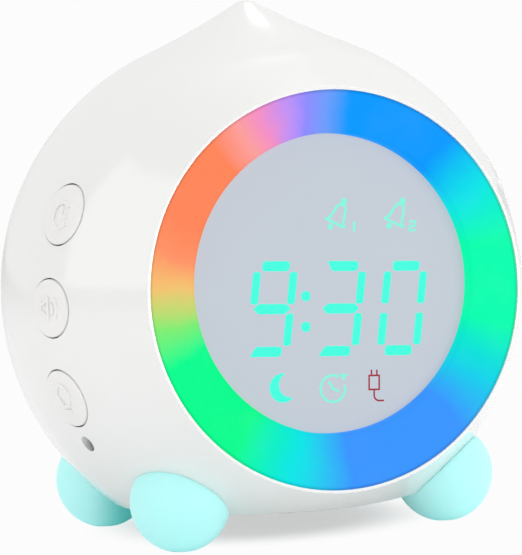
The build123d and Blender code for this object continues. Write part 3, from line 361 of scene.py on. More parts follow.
@dataclass(frozen=True)
class GlowRing:
    """Milky plastic lit from behind by a circle of coloured lights whose colours run together.

    Attributes:
        name: Material name.
        hues: Angle in degrees, anticlockwise from the right as seen from the front, and colour.
        strength: Strength of the light.
        drift: How far, as a share of a turn, the colours wander.
        cloud_mm: Size of the clouds in the plastic.
        cloudy: Levels of the cloud between which it turns milky.
        haze: Most white that the milky plastic adds in its cloudy places.
        grain_mm: Size of its fine mottling.
        mottle: Level of the light in the darkest speck.
        rim: Distances from the axis, in millimetres, over which painted shade dims the light
            outwards.
        rim_shade_levels: Level of the light before and after that painted shade.
        window: Distances from the window's centre over which its painted shade lifts outwards.
        window_shade_levels: Level of the light before and after that painted shade.
        window_rise: Height of the window's centre above the axis.
        lit_share: Share of the colour that comes from the light and not from the surface.
        roughness: Roughness of its face.
        ior: Index of refraction.
        gloss: Strength of its reflection.
    """

    name: str
    hues: tuple[tuple[float, Hue], ...]
    strength: float = 0.99
    drift: float = 0.016
    cloud_mm: float = 13.0
    cloudy: tuple[float, float] = (0.5, 0.8)
    haze: float = 0.012
    grain_mm: float = 1.3
    mottle: float = 0.95
    # painted shade: dark lines at the ring's outer and window edges, where the gaps lie in shade
    rim: tuple[float, float] = (39.6, 40.3)
    rim_shade_levels: tuple[float, float] = (1.0, 0.72)
    window: tuple[float, float] = (30.5, 31.3)
    window_shade_levels: tuple[float, float] = (0.975, 1.0)
    window_rise: float = 1.3
    lit_share: float = 0.97
    roughness: float = 0.45
    ior: float = 1.5
    gloss: float = 0.03

    def build(self) -> bpy.types.Material:
        """Builds the finish.

        Returns:
            The material with all its nodes.
        """
        material, tree = new_tree(self.name)
        place = add_node(tree, "ShaderNodeTexCoord").outputs["Object"]
        turn = math.pi / 2 - FACE_TILT
        facing = add_node(
            tree,
            "ShaderNodeMapping",
            {
                "vector_type": "TEXTURE",
                "Location": tuple(BALL_CENTRE * MM),
                "Rotation": (turn, 0, 0),
            },
            {"Vector": place},
        ).outputs[0]
        colour = add_node(
            tree,
            "ShaderNodeMix",
            {"data_type": "RGBA", "blend_type": "MULTIPLY", 0: 1.0},
            {6: self.clouded_hues(tree, facing), 7: self.light_and_painted_shade(tree, facing)},
        ).outputs[2]
        dim = add_node(
            tree, "ShaderNodeMix", {"data_type": "RGBA", 0: self.lit_share, 7: BLACK}, {6: colour}
        ).outputs[2]
        shader = add_node(
            tree,
            "ShaderNodeBsdfPrincipled",
            {
                "Emission Strength": self.strength,
                "Roughness": self.roughness,
                "IOR": self.ior,
                "Specular IOR Level": self.gloss,
            },
            {"Base Color": dim, "Emission Color": colour},
        )
        add_node(tree, "ShaderNodeOutputMaterial", links={"Surface": shader.outputs[0]})
        return material

    def clouded_hues(
        self, tree: bpy.types.NodeTree, facing: bpy.types.NodeSocket
    ) -> bpy.types.NodeSocket:
        """The lights' colours round the ring, wandering and whitened by clouds in the plastic.

        Args:
            tree: The material's node tree.
            facing: Place on the face, about the ring's axis.

        Returns:
            Socket with the colour.
        """
        sweep = add_node(
            tree, "ShaderNodeTexGradient", {"gradient_type": "RADIAL"}, {"Vector": facing}
        ).outputs["Fac"]
        cloud = add_node(
            tree,
            "ShaderNodeTexNoise",
            {"Scale": 1 / (self.cloud_mm * MM), "Detail": 4.0},
            {"Vector": facing},
        ).outputs[0]
        wander = add_node(
            tree,
            "ShaderNodeMapRange",
            {"To Min": -self.drift, "To Max": self.drift},
            {"Value": cloud},
        ).outputs[0]
        angle = add_node(
            tree, "ShaderNodeMath", {"operation": "ADD"}, {0: sweep, 1: wander}
        ).outputs[0]
        ramp = add_node(tree, "ShaderNodeValToRGB", links={"Fac": angle})
        self.fill(ramp.color_ramp)
        milk = add_node(
            tree,
            "ShaderNodeMapRange",
            {"From Min": self.cloudy[0], "From Max": self.cloudy[1], "To Max": self.haze},
            {"Value": cloud},
        ).outputs[0]
        return add_node(
            tree,
            "ShaderNodeMix",
            {"data_type": "RGBA", 7: WHITE},
            {0: milk, 6: ramp.outputs["Color"]},
        ).outputs[2]

    def light_and_painted_shade(
        self, tree: bpy.types.NodeTree, facing: bpy.types.NodeSocket
    ) -> bpy.types.NodeSocket:
        """How much light gets through: finely mottled, with painted shade near both edges.

        Args:
            tree: The material's node tree.
            facing: Place on the face, about the ring's axis.

        Returns:
            Socket with the level.
        """
        fine = add_node(
            tree,
            "ShaderNodeTexNoise",
            {"Scale": 1 / (self.grain_mm * MM), "Detail": 3.0},
            {"Vector": facing},
        ).outputs[0]
        depth = add_node(
            tree, "ShaderNodeMapRange", {"To Min": self.mottle, "To Max": 1.0}, {"Value": fine}
        ).outputs[0]
        # painted shade along both edges of the ring
        outer = self.edge(tree, facing, 0.0, self.rim, self.rim_shade_levels)
        inner = self.edge(tree, facing, self.window_rise, self.window, self.window_shade_levels)
        edge_shade = add_node(
            tree, "ShaderNodeMath", {"operation": "MULTIPLY"}, {0: outer, 1: inner}
        ).outputs[0]
        return add_node(
            tree, "ShaderNodeMath", {"operation": "MULTIPLY"}, {0: depth, 1: edge_shade}
        ).outputs[0]

    def edge(
        self,
        tree: bpy.types.NodeTree,
        facing: bpy.types.NodeSocket,
        rise: float,
        span: tuple[float, float],
        levels: tuple[float, float],
    ) -> bpy.types.NodeSocket:
        """Light level near a round edge, dimmed there as painted shade.

        Args:
            tree: The material's node tree.
            facing: Place on the face, about the ring's axis.
            rise: Height of the circle's centre above the axis, in millimetres.
            span: Distances from that centre between which the level changes.
            levels: Level at the near and at the far end of the span.

        Returns:
            Socket with the level.
        """
        centred = add_node(
            tree,
            "ShaderNodeVectorMath",
            {"operation": "MULTIPLY_ADD", 1: (1, 1, 0), 2: (0, -rise * MM, 0)},
            {0: facing},
        ).outputs[0]
        away = add_node(
            tree, "ShaderNodeVectorMath", {"operation": "LENGTH"}, {0: centred}
        ).outputs["Value"]
        return add_node(
            tree,
            "ShaderNodeMapRange",
            {
                "From Min": span[0] * MM,
                "From Max": span[1] * MM,
                "To Min": levels[0],
                "To Max": levels[1],
                "interpolation_type": "SMOOTHSTEP",
            },
            {"Value": away},
        ).outputs[0]

    def fill(self, ramp: bpy.types.ColorRamp) -> None:
        """Sets the ramp's stops, and closes it where the turn begins and ends.

        Args:
            ramp: Ramp over one turn, with two stops.
        """
        stops = sorted((((angle + 180) % 360) / 360, hue.value) for angle, hue in self.hues)
        (first, first_colour), (last, last_colour) = stops[0], stops[-1]
        gap = first + 1 - last
        share = (1 - last) / gap
        low, high = linear(last_colour), linear(first_colour)
        ends = tuple(a + (b - a) * share for a, b in zip(low, high))
        ramp.elements[0].position, ramp.elements[0].color = 0.0, ends
        ramp.elements[1].position, ramp.elements[1].color = 1.0, ends
        for position, colour in stops:
            ramp.elements.new(position).color = linear(colour)


FINISHES: dict[str, Finish | LightGuide | GlowRing] = {
    "white_shell": Finish(  # ABS from a polished mould: clear reflections, faint flow tone
        "glossy_white_abs",
        "#F1F1EF",
        "#EDEDEB",
        30.0,
        (0.10, 0.16),
        1.2,
        0.0004,
        ior=1.53,
        coat=0.5,
    ),
    "button_white": Finish(  # ABS from a less polished mould: a softer gloss than the shell's
        "button_white_abs", "#F1F0EE", "#EDECEA", 12.0, (0.14, 0.22), 0.8, 0.0006, ior=1.53
    ),
    "foot_mint": Finish(  # moulded silicone: satin, lets light in; painted glow, and deeper painted shade near the body
        "mint_silicone",
        "#C0FEFC",
        "#B9FBF9",
        9.0,
        (0.46, 0.56),
        0.5,
        0.003,
        ior=1.42,
        sheen=0.05,
        subsurface=0.6,
        depth_mm=(1.2, 4.0, 3.6),
        # painted light: a glow that brightens the feet's shaded sides, though no lamp is in them
        painted_glow=0.24,
        # painted shade: deeper turquoise on the feet's sides towards the body
        painted_shade_tone="#5ED8D2",
    ),
    "inner_white": Finish(  # ABS from a spark-eroded mould: matt, with a fine even tooth
        "matt_white_abs", "#ECECEA", "#E4E4E2", 6.0, (0.5, 0.62), 0.4, 0.006
    ),
    "panel_grey": Finish(  # printed polycarbonate: even and satin, lit a little from behind, with painted light over its recess's shade
        "screen_panel_grey", "#BCC4CE", "#BAC2CD", 14.0, (0.42, 0.5), 0.35, 0.0015, painted_glow=0.8
    ),
    # moulded acrylic guides: evenly lit strokes with no shade of their own
    "mint_guide": LightGuide("lit_mint_guide", "#22F4D2", "#30F6D6", 0.86),
    "red_guide": LightGuide("lit_red_guide", "#A0002A", "#960026", 0.78),
    "dark_guide": Finish(  # the same acrylic with its light off: greyish and glossy
        "clear_guide_off", "#B9C4C4", "#AEBABA", 3.0, (0.2, 0.3), 0.5, 0.002
    ),
    "ring_milk": GlowRing(  # moulded milky polycarbonate: hides the lights and runs them together
        "lit_milky_ring",
        (
            (97.0, Hue.VIOLET),
            (88.0, Hue.PERIWINKLE),
            (80.0, Hue.AZURE),
            (47.0, Hue.AZURE),
            (29.0, Hue.AQUA),
            (13.0, Hue.MINT),
            (-15.0, Hue.MINT),
            (-33.0, Hue.CYAN),
            (-49.0, Hue.SKY),
            (-90.0, Hue.SKY),
            (-110.0, Hue.AQUA),
            (-128.0, Hue.SPRING),
            (-162.0, Hue.SPRING),
            (-173.0, Hue.LIME),
            (174.0, Hue.APRICOT),
            (163.0, Hue.ORANGE),
            (153.0, Hue.CORAL),
            (128.0, Hue.CORAL),
            (118.0, Hue.ROSE),
            (110.0, Hue.PINK),
            (102.0, Hue.LILAC),
        ),
    ),
    "plunger_grey": Finish(  # moulded acetal: waxy, half matt
        "grey_pom", "#8C8E92", "#84868A", 2.0, (0.4, 0.5), 0.3, 0.002
    ),
    "switch_black": Finish(  # moulded polyester: matt black with a faint grain
        "black_pbt", "#1C1C1F", "#242427", 2.0, (0.45, 0.6), 0.3, 0.003
    ),
    "board_green": Finish(  # cured solder mask: glossy green, clouded over the weave under it
        "green_solder_mask", "#0F5A33", "#1B6B40", 1.6, (0.25, 0.4), 0.5, 0.006
    ),
    "chip_black": Finish(  # moulded epoxy: dull, nearly black
        "black_epoxy", "#19191B", "#202022", 1.0, (0.5, 0.65), 0.2, 0.003
    ),
    "led_white": Finish(  # white package with a yellow lens: pale, warm in patches
        "light_package", "#F2EBD2", "#E9DDA8", 1.5, (0.3, 0.45), 0.4, 0.002
    ),
    "socket_cream": Finish(  # moulded nylon: cream and half matt
        "cream_nylon", "#E6DEC6", "#DDD4BA", 3.0, (0.42, 0.55), 0.3, 0.003
    ),
    "screw_steel": Finish(  # bright zinc plating: small sharp glints with a blurred edge
        "zinc_plated_steel", "#B4B6B8", "#A3A6AA", 1.2, (0.25, 0.42), 0.25, 0.003, 1.0, None
    ),
    "speaker_steel": Finish(  # pressed sheet: grey metal, evenly blurred
        "pressed_steel", "#9EA0A2", "#909294", 4.0, (0.3, 0.42), 0.3, 0.003, 1.0, None
    ),
    "port_steel": Finish(  # nickel plating: brighter and smoother than the screws
        "nickel_plated_steel", "#C9CACC", "#BBBDC0", 2.0, (0.18, 0.3), 0.3, 0.002, 1.0, None
    ),
    "cone_paper": Finish(  # pressed pulp: dead matt, with a fibrous grain
        "pressed_paper", "#222225", "#2C2C2F", 1.2, (0.75, 0.9), 0.35, 0.02
    ),
    "magnet_black": Finish(  # dipped ferrite: dark, slightly uneven coat
        "coated_magnet", "#2B2C2E", "#343537", 3.0, (0.4, 0.55), 0.4, 0.006
    ),
    "foam_black": Finish(  # cut foam: rough open cells that take all the light
        "black_foam", "#222222", "#303030", 0.8, (0.85, 0.95), 0.5, 0.08
    ),
    "cell_foil": Finish(  # laminated foil: dull metal with shallow dents
        "laminated_foil", "#B9BBBF", "#ABADB2", 9.0, (0.32, 0.45), 1.6, 0.02, 1.0, None
    ),
    "copper": Finish(  # rolled foil: warm metal, a little oxidised in patches
        "copper_foil", "#D88C66", "#C77A56", 3.0, (0.25, 0.4), 0.5, 0.004, 1.0, None
    ),
    "lead_grey": Finish(  # extruded vinyl sheath: satin grey
        "grey_pvc", "#55565A", "#4C4D51", 3.0, (0.45, 0.55), 0.4, 0.003
    ),
    "ribbon_white": Finish(  # laminated polyester ribbon: off-white, half glossy
        "white_ribbon", "#DCDCD6", "#CFCFC8", 1.0, (0.4, 0.5), 0.4, 0.004
    ),
}


class Dresser:
    """Keeps one built material for each of the record's slots."""

    def __init__(self, record: dict) -> None:
        """Reads which slot each node has."""
        self.slots = {s["node"]: s["material_slot"] for s in record["subparts"]}
        self.built: dict[str, bpy.types.Material] = {}

    def dress(self, piece: bpy.types.Object, slot: str) -> None:
        """Gives a piece its slot's material.

        Args:
            piece: The piece.
            slot: The slot's name in the record.
        """
        if slot not in self.built:
            self.built[slot] = FINISHES[slot].build()
        piece.data.materials.clear()
        piece.data.materials.append(self.built[slot])


# ---- Mesh helpers --------------------------------------------------------------------------------
def activate(piece: bpy.types.Object) -> None:
    """Selects one object and nothing else.

    Args:
        piece: The object.
    """
    bpy.ops.object.select_all(action="DESELECT")
    piece.select_set(True)
    bpy.context.view_layer.objects.active = piece


def merged_copy(node: str, name: str, smooth_angle: float = SMOOTH_ANGLE) -> bpy.types.Object:
    """Copies a node's mesh, joins its loose triangles and shades it smooth.

    Args:
        node: Name of the node in the frame.
        name: Name of the new piece.
        smooth_angle: Edges sharper than this many degrees stay sharp.

    Returns:
        The new piece.
    """
    source = frame["nodes"][node]
    piece = bpy.data.objects.new(name, source.data.copy())
    bpy.context.scene.collection.objects.link(piece)
    activate(piece)
    bpy.ops.object.mode_set(mode="EDIT")
    bpy.ops.mesh.select_all(action="SELECT")
    bpy.ops.mesh.customdata_custom_splitnormals_clear()
    bpy.ops.mesh.remove_doubles(threshold=MERGE_MM * MM)
    bpy.ops.object.mode_set(mode="OBJECT")
    bpy.ops.object.shade_smooth_by_angle(angle=math.radians(smooth_angle))
    return piece


class FormNormals:
    """Normals of the clock's outer form, worked out from its shape for a clean gloss.

    Attributes:
        axis: The way the face looks.
        tip_margin: How far below the tip's centre its rounding may reach, in millimetres.
        least: Smallest length that is divided by.
    """

    axis = np.array((0.0, -math.cos(FACE_TILT), math.sin(FACE_TILT)))
    tip_margin = 1.0
    least = 1e-9

    def __init__(self) -> None:
        """Works out the centre of the flank's hollow curve and the flare's slope."""
        tip_centre = TIP_HEIGHT - TIP_RADIUS
        reach = ((BALL_RADIUS - TIP_RADIUS) ** 2 - tip_centre**2) / (
            2 * (BALL_RADIUS - TIP_RADIUS - tip_centre * math.cos(TIP_BLEND))
        )
        self.flank = np.array((reach * math.sin(TIP_BLEND), reach * math.cos(TIP_BLEND)))
        self.tip = np.array((0.0, tip_centre))
        self.round_angle = math.atan2(self.flank[0], self.flank[1] - tip_centre)
        meet = math.sqrt(BALL_RADIUS**2 - FLARE_MEET**2)
        slope = np.array((RIM_FORWARD - FLARE_MEET, meet - RIM_RADIUS))
        self.flare = slope / np.linalg.norm(slope)

    def at(self, points: np.ndarray) -> np.ndarray:
        """Outward unit normals of the outer form.

        Args:
            points: Places in millimetres about the ball's centre, one per row.

        Returns:
            One unit normal per row.
        """
        away = np.linalg.norm(points, axis=1, keepdims=True)
        normals = points / away
        forward = points @ self.axis
        aside = points - forward[:, None] * self.axis
        aside /= np.maximum(np.linalg.norm(aside, axis=1, keepdims=True), self.least)
        flare = aside * self.flare[0] + self.axis * self.flare[1]
        share = np.clip((forward - FLARE_MEET) / FLARE_BLEND + 0.5, 0, 1)[:, None]
        share = share * share * (3 - 2 * share)
        normals = normals * (1 - share) + flare * share
        spread = np.hypot(points[:, 0], points[:, 1])
        level = points[:, 2]
        on_tip = np.arctan2(spread, level) < TIP_BLEND
        place = np.stack((spread, level), axis=1)
        hollow = self.flank - place
        tip_round = place - self.tip
        use_round = np.arctan2(tip_round[:, 0], tip_round[:, 1]) < self.round_angle
        use_round &= level > self.tip[1] - self.tip_margin
        profile = np.where(use_round[:, None], tip_round, hollow)
        profile /= np.maximum(np.linalg.norm(profile, axis=1, keepdims=True), self.least)
        out = points[:, :2] / np.maximum(spread, self.least)[:, None]
        tip_normals = np.concatenate((out * profile[:, :1], profile[:, 1:]), axis=1)
        normals = np.where(on_tip[:, None], tip_normals, normals)
        return normals / np.linalg.norm(normals, axis=1, keepdims=True)

    def apply(self, piece: bpy.types.Object, limit: float) -> None:
        """Sets these normals on a piece's outer faces and leaves its other corners as they are.

        Args:
            piece: Piece with its place in its mesh.
            limit: Faces that lean further than this many degrees from the form are left alone.
        """
        mesh = piece.data
        corners = np.empty(len(mesh.loops) * 3, np.float32)
        mesh.corner_normals.foreach_get("vector", corners)
        corners = corners.reshape(-1, 3)
        co = np.empty(len(mesh.vertices) * 3, np.float32)
        mesh.vertices.foreach_get("co", co)
        vertex = np.empty(len(mesh.loops), np.int32)
        mesh.loops.foreach_get("vertex_index", vertex)
        totals = np.empty(len(mesh.polygons), np.int32)
        mesh.polygons.foreach_get("loop_total", totals)
        faces = np.empty(len(mesh.polygons) * 3, np.float32)
        mesh.polygons.foreach_get("normal", faces)
        points = co.reshape(-1, 3)[vertex] / MM - np.array(BALL_CENTRE)
        ideal = self.at(points.astype(float))
        own = np.repeat(faces.reshape(-1, 3), totals, axis=0)
        near = (own * ideal).sum(1) > math.cos(math.radians(limit))
        corners[near] = ideal[near]
        mesh.normals_split_custom_set(corners.tolist())


@dataclass(frozen=True)
class Loop:
    """One circle of a lofted piece, in millimetres.

    Attributes:
        radius: Its radius.
        rise: Height of its centre above the axis.
        forward: Distance along the axis, or from the crowned surface where crowned is set.
        crowned: Whether each corner follows the crowned surface.
    """

    radius: float
    rise: float
    forward: float
    crowned: bool = False


def circle_loft(name: str, loops: list[Loop], facets: int) -> bpy.types.Object:
    """Lofts a closed tube through circles and joins the last circle to the first.

    Args:
        name: Name of the piece.
        loops: The circles in order.
        facets: Corners on each circle.

    Returns:
        The piece, about its own axis; each circle's corners follow one another in its mesh.
    """
    bpy.ops.object.select_all(action="DESELECT")
    start = loops[0]
    bpy.ops.mesh.primitive_circle_add(
        vertices=facets,
        radius=start.radius * MM,
        location=(0, start.rise * MM, start.forward * MM),
    )
    piece = bpy.context.object
    piece.name = name
    bpy.ops.object.transform_apply(location=True, rotation=True, scale=True)
    bpy.ops.object.mode_set(mode="EDIT")
    bpy.ops.mesh.select_mode(type="EDGE")
    bpy.ops.mesh.select_all(action="SELECT")
    for last, this in zip(loops, loops[1:]):
        step = (0, (this.rise - last.rise) * MM, (this.forward - last.forward) * MM)
        bpy.ops.mesh.extrude_edges_move(TRANSFORM_OT_translate={"value": step})
        share = this.radius / last.radius
        centre = (0, this.rise * MM, this.forward * MM)
        bpy.ops.transform.resize(value=(share, share, 1), center_override=centre)
    bpy.ops.mesh.select_all(action="DESELECT")
    bpy.ops.mesh.select_non_manifold()
    bpy.ops.mesh.bridge_edge_loops()
    bpy.ops.mesh.select_all(action="SELECT")
    bpy.ops.mesh.normals_make_consistent(inside=False)
    bpy.ops.object.mode_set(mode="OBJECT")
    return piece


def face_the_front(piece: bpy.types.Object) -> None:
    """Turns a piece's axis along the clock's face and puts it at the ball's centre.

    Args:
        piece: Piece about its own axis, at the world's origin.
    """
    up = (0, math.sin(FACE_TILT), math.cos(FACE_TILT))
    out = (0, -math.cos(FACE_TILT), math.sin(FACE_TILT))
    turned = Matrix(((1, 0, 0), up, out)).transposed().to_4x4()
    piece.matrix_world = Matrix.Translation(BALL_CENTRE * MM) @ turned
    activate(piece)
    bpy.ops.object.transform_apply(location=True, rotation=True, scale=True)


# ---- Sub-assemblies ------------------------------------------------------------------------------
@dataclass
class Shells:
    """The two glossy halves of the body.

    Attributes:
        dresser: Gives the finish.
        normals: The outer form's normals.
        limit: Faces that lean further than this many degrees from the form keep their own.
    """

    dresser: Dresser
    normals: FormNormals
    limit: float = 14.0

    def build(self) -> Iterable[str]:
        """Builds both shells.

        Yields:
            The name of each.
        """
        for node in ("front_shell", "rear_shell"):
            piece = merged_copy(node, node + "_gloss")
            self.normals.apply(piece, self.limit)
            self.dresser.dress(piece, "white_shell")
            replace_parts(piece, node)
            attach(piece, "clock")
            yield piece.name


class Key(Enum):
    """The push buttons: three on the left, three on the right."""

    CLOCK = "clock"
    SOUND = "sound"
    LAMP = "lamp"
    PLUS = "plus"
    ALARM = "alarm"
    MINUS = "minus"


@dataclass
class Keys:
    """The push buttons on both sides, with their raised icons.

    Attributes:
        dresser: Gives the finish.
        normals: The outer form's normals.
        limit: Faces that lean further than this many degrees from the form keep their own.
    """

    dresser: Dresser
    normals: FormNormals
    limit: float = 12.0

    def build(self) -> Iterable[str]:
        """Builds the caps.

        Yields:
            The name of each.
        """
        for key in Key:
            node = key.value + "_button"
            piece = merged_copy(node, node + "_cap")
            self.normals.apply(piece, self.limit)
            self.dresser.dress(piece, "button_white")
            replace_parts(piece, node)
            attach(piece, key.value + "_key")
            yield piece.name


@dataclass
class Icons:
    """The lit icons behind the panel: the moon is fully lit, the bells and the timer half lit.

    Attributes:
        dresser: Gives the finish of the fully lit guide.
        faint: Finish of a half lit guide: the same acrylic, paler with less light in it.
        moon: Lowest and highest corner, in metres across and up, of the box round the moon.
    """

    dresser: Dresser
    faint: LightGuide = LightGuide("faint_mint_guide", "#74ECD2", "#7EEED6", 0.84)
    moon: tuple[tuple[float, float], tuple[float, float]] = ((-0.017, 0.024), (-0.0055, 0.04))

    def build(self) -> Iterable[str]:
        """Builds the icons' guides.

        Yields:
            The name of the piece that holds them all.
        """
        piece = merged_copy("icon_guides", "icon_guides_lit")
        self.dresser.dress(piece, "mint_guide")
        piece.data.materials.append(self.faint.build())
        (left, low), (right, high) = self.moon
        for face in piece.data.polygons:
            across, up = face.center.x, face.center.z
            lit = left < across < right and low < up < high
            face.material_index = 0 if lit else 1
        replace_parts(piece, "icon_guides")
        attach(piece, "clock")
        yield piece.name


@dataclass
class LightRing:
    """The milky ring: crowned in front, with a skirt round the window and a flange behind the lip.

    Attributes:
        dresser: Gives the finish.
        facets: Corners on each circle.
        steps: Circles across the crowned front.
        radius: Outer radius of the part that shows.
        edge: Rounding of the outer edge.
        window_radius: Radius of the window.
        window_rise: Height of the window's centre above the axis.
        window_edge: Rounding of the window's edge.
        wall: Thickness behind the crown.
        skirt: Thickness of the skirt round the window.
        skirt_end: How far forward the skirt begins.
        flange_radius: Radius of the flange behind the lip.
        flange: Back and front of the flange.
        arc_centre: Centre of the crown's profile, out from the axis and forward.
        arc_radius: Radius of the crown's profile.
        smooth_angle: Edges sharper than this many degrees stay sharp.
    """

    dresser: Dresser
    facets: int = 256
    steps: int = 14
    radius: float = 40.3
    edge: float = 0.35
    window_radius: float = 30.4
    window_rise: float = 1.3
    window_edge: float = 0.15
    wall: float = 1.8
    skirt: float = 1.0
    skirt_end: float = 34.9
    flange_radius: float = 41.8
    flange: tuple[float, float] = (34.5, 36.0)
    arc_centre: tuple[float, float] = (40.259, -1.765)
    arc_radius: float = 41.965
    smooth_angle: float = 50.0

    def crown(self, away: float) -> float:
        """How far forward the crowned surface is at this distance from the axis."""
        return self.arc_centre[1] + math.sqrt(self.arc_radius**2 - (away - self.arc_centre[0]) ** 2)

    def loops(self) -> list[Loop]:
        """Lays out the ring's profile.

        Returns:
            Its circles, from the back of the flange round to its inside.
        """
        back, seat = self.flange
        rim = self.crown(self.radius)
        bend = self.edge * (1 - math.sqrt(0.5))
        circles = [
            Loop(self.flange_radius, 0, back),
            Loop(self.flange_radius, 0, seat),
            Loop(self.radius, 0, seat),
            Loop(self.radius, 0, rim - self.edge),
            Loop(self.radius - bend, 0, rim - bend),
        ]
        first, last = self.radius - self.edge, self.window_radius + self.window_edge
        for step in range(self.steps + 1):
            share = step / self.steps
            radius = first + (last - first) * share
            circles.append(Loop(radius, self.window_rise * share, 0, crowned=True))
        inner, under = self.window_radius + self.skirt, self.crown(self.window_radius) - self.wall
        circles += [
            Loop(self.window_radius, self.window_rise, -self.window_edge, crowned=True),
            Loop(self.window_radius, self.window_rise, self.skirt_end),
            Loop(inner, self.window_rise, self.skirt_end),
            Loop(inner, self.window_rise, under),
            Loop(self.radius - self.wall, 0, rim - self.wall),
            Loop(self.radius - self.wall, 0, back),
        ]
        return circles

    def build(self) -> Iterable[str]:
        """Lofts the ring and sets its crown.

        Yields:
            The ring's name.
        """
        circles = self.loops()
        piece = circle_loft("ring_diffuser_milk", circles, self.facets)
        for index, circle in enumerate(circles):
            if circle.crowned:
                for vertex in piece.data.vertices[index * self.facets : (index + 1) * self.facets]:
                    away = math.hypot(vertex.co.x, vertex.co.y) / MM
                    vertex.co.z = (self.crown(away) + circle.forward) * MM
        face_the_front(piece)
        bpy.ops.object.shade_smooth_by_angle(angle=math.radians(self.smooth_angle))
        self.dresser.dress(piece, "ring_milk")
        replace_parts(piece, "ring_diffuser")
        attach(piece, "clock")
        yield piece.name


@dataclass
class Carried:
    """Every other piece: joined, shaded smooth and given its slot's finish.

    Attributes:
        dresser: Gives the finish.
        done: Nodes that another piece already stands for.
        soft_edges: Sharpest edge, in degrees, that is shaded smooth, for slots that differ.
    """

    dresser: Dresser
    done: set[str] = field(default_factory=set)
    soft_edges: dict[str, float] = field(default_factory=lambda: {"foot_mint": 60.0})

    def build(self) -> Iterable[str]:
        """Builds the pieces that nothing else stands for.

        Yields:
            The name of each.
        """
        bodies = frame["record"]["behaviour"]["bodies"]
        owner = {node: body for body, nodes in bodies.items() for node in nodes}
        for node in sorted(frame["nodes"]):
            if node in self.done:
                continue
            slot = self.dresser.slots[node]
            piece = merged_copy(node, node + "_piece", self.soft_edges.get(slot, SMOOTH_ANGLE))
            self.dresser.dress(piece, slot)
            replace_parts(piece, node)
            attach(piece, owner[node])
            yield piece.name


# ---- Studio --------------------------------------------------------------------------------------
@dataclass(frozen=True)
class Softbox:
    """A rectangular soft light.

    Attributes:
        name: Lamp name.
        place: Position in metres.
        aim: Point it faces, in metres.
        size: Width and height in metres.
        watts: Power.
    """

    name: str
    place: tuple[float, float, float]
    aim: tuple[float, float, float]
    size: tuple[float, float]
    watts: float

    def build(self) -> None:
        """Adds the light."""
        data = bpy.data.lights.new(self.name, "AREA")
        data.shape = "RECTANGLE"
        data.size, data.size_y = self.size
        data.energy = self.watts
        holder = bpy.data.objects.new(self.name, data)
        bpy.context.scene.collection.objects.link(holder)
        holder.location = self.place
        toward = Vector(self.aim) - Vector(self.place)
        holder.rotation_euler = toward.to_track_quat("-Z", "Y").to_euler()


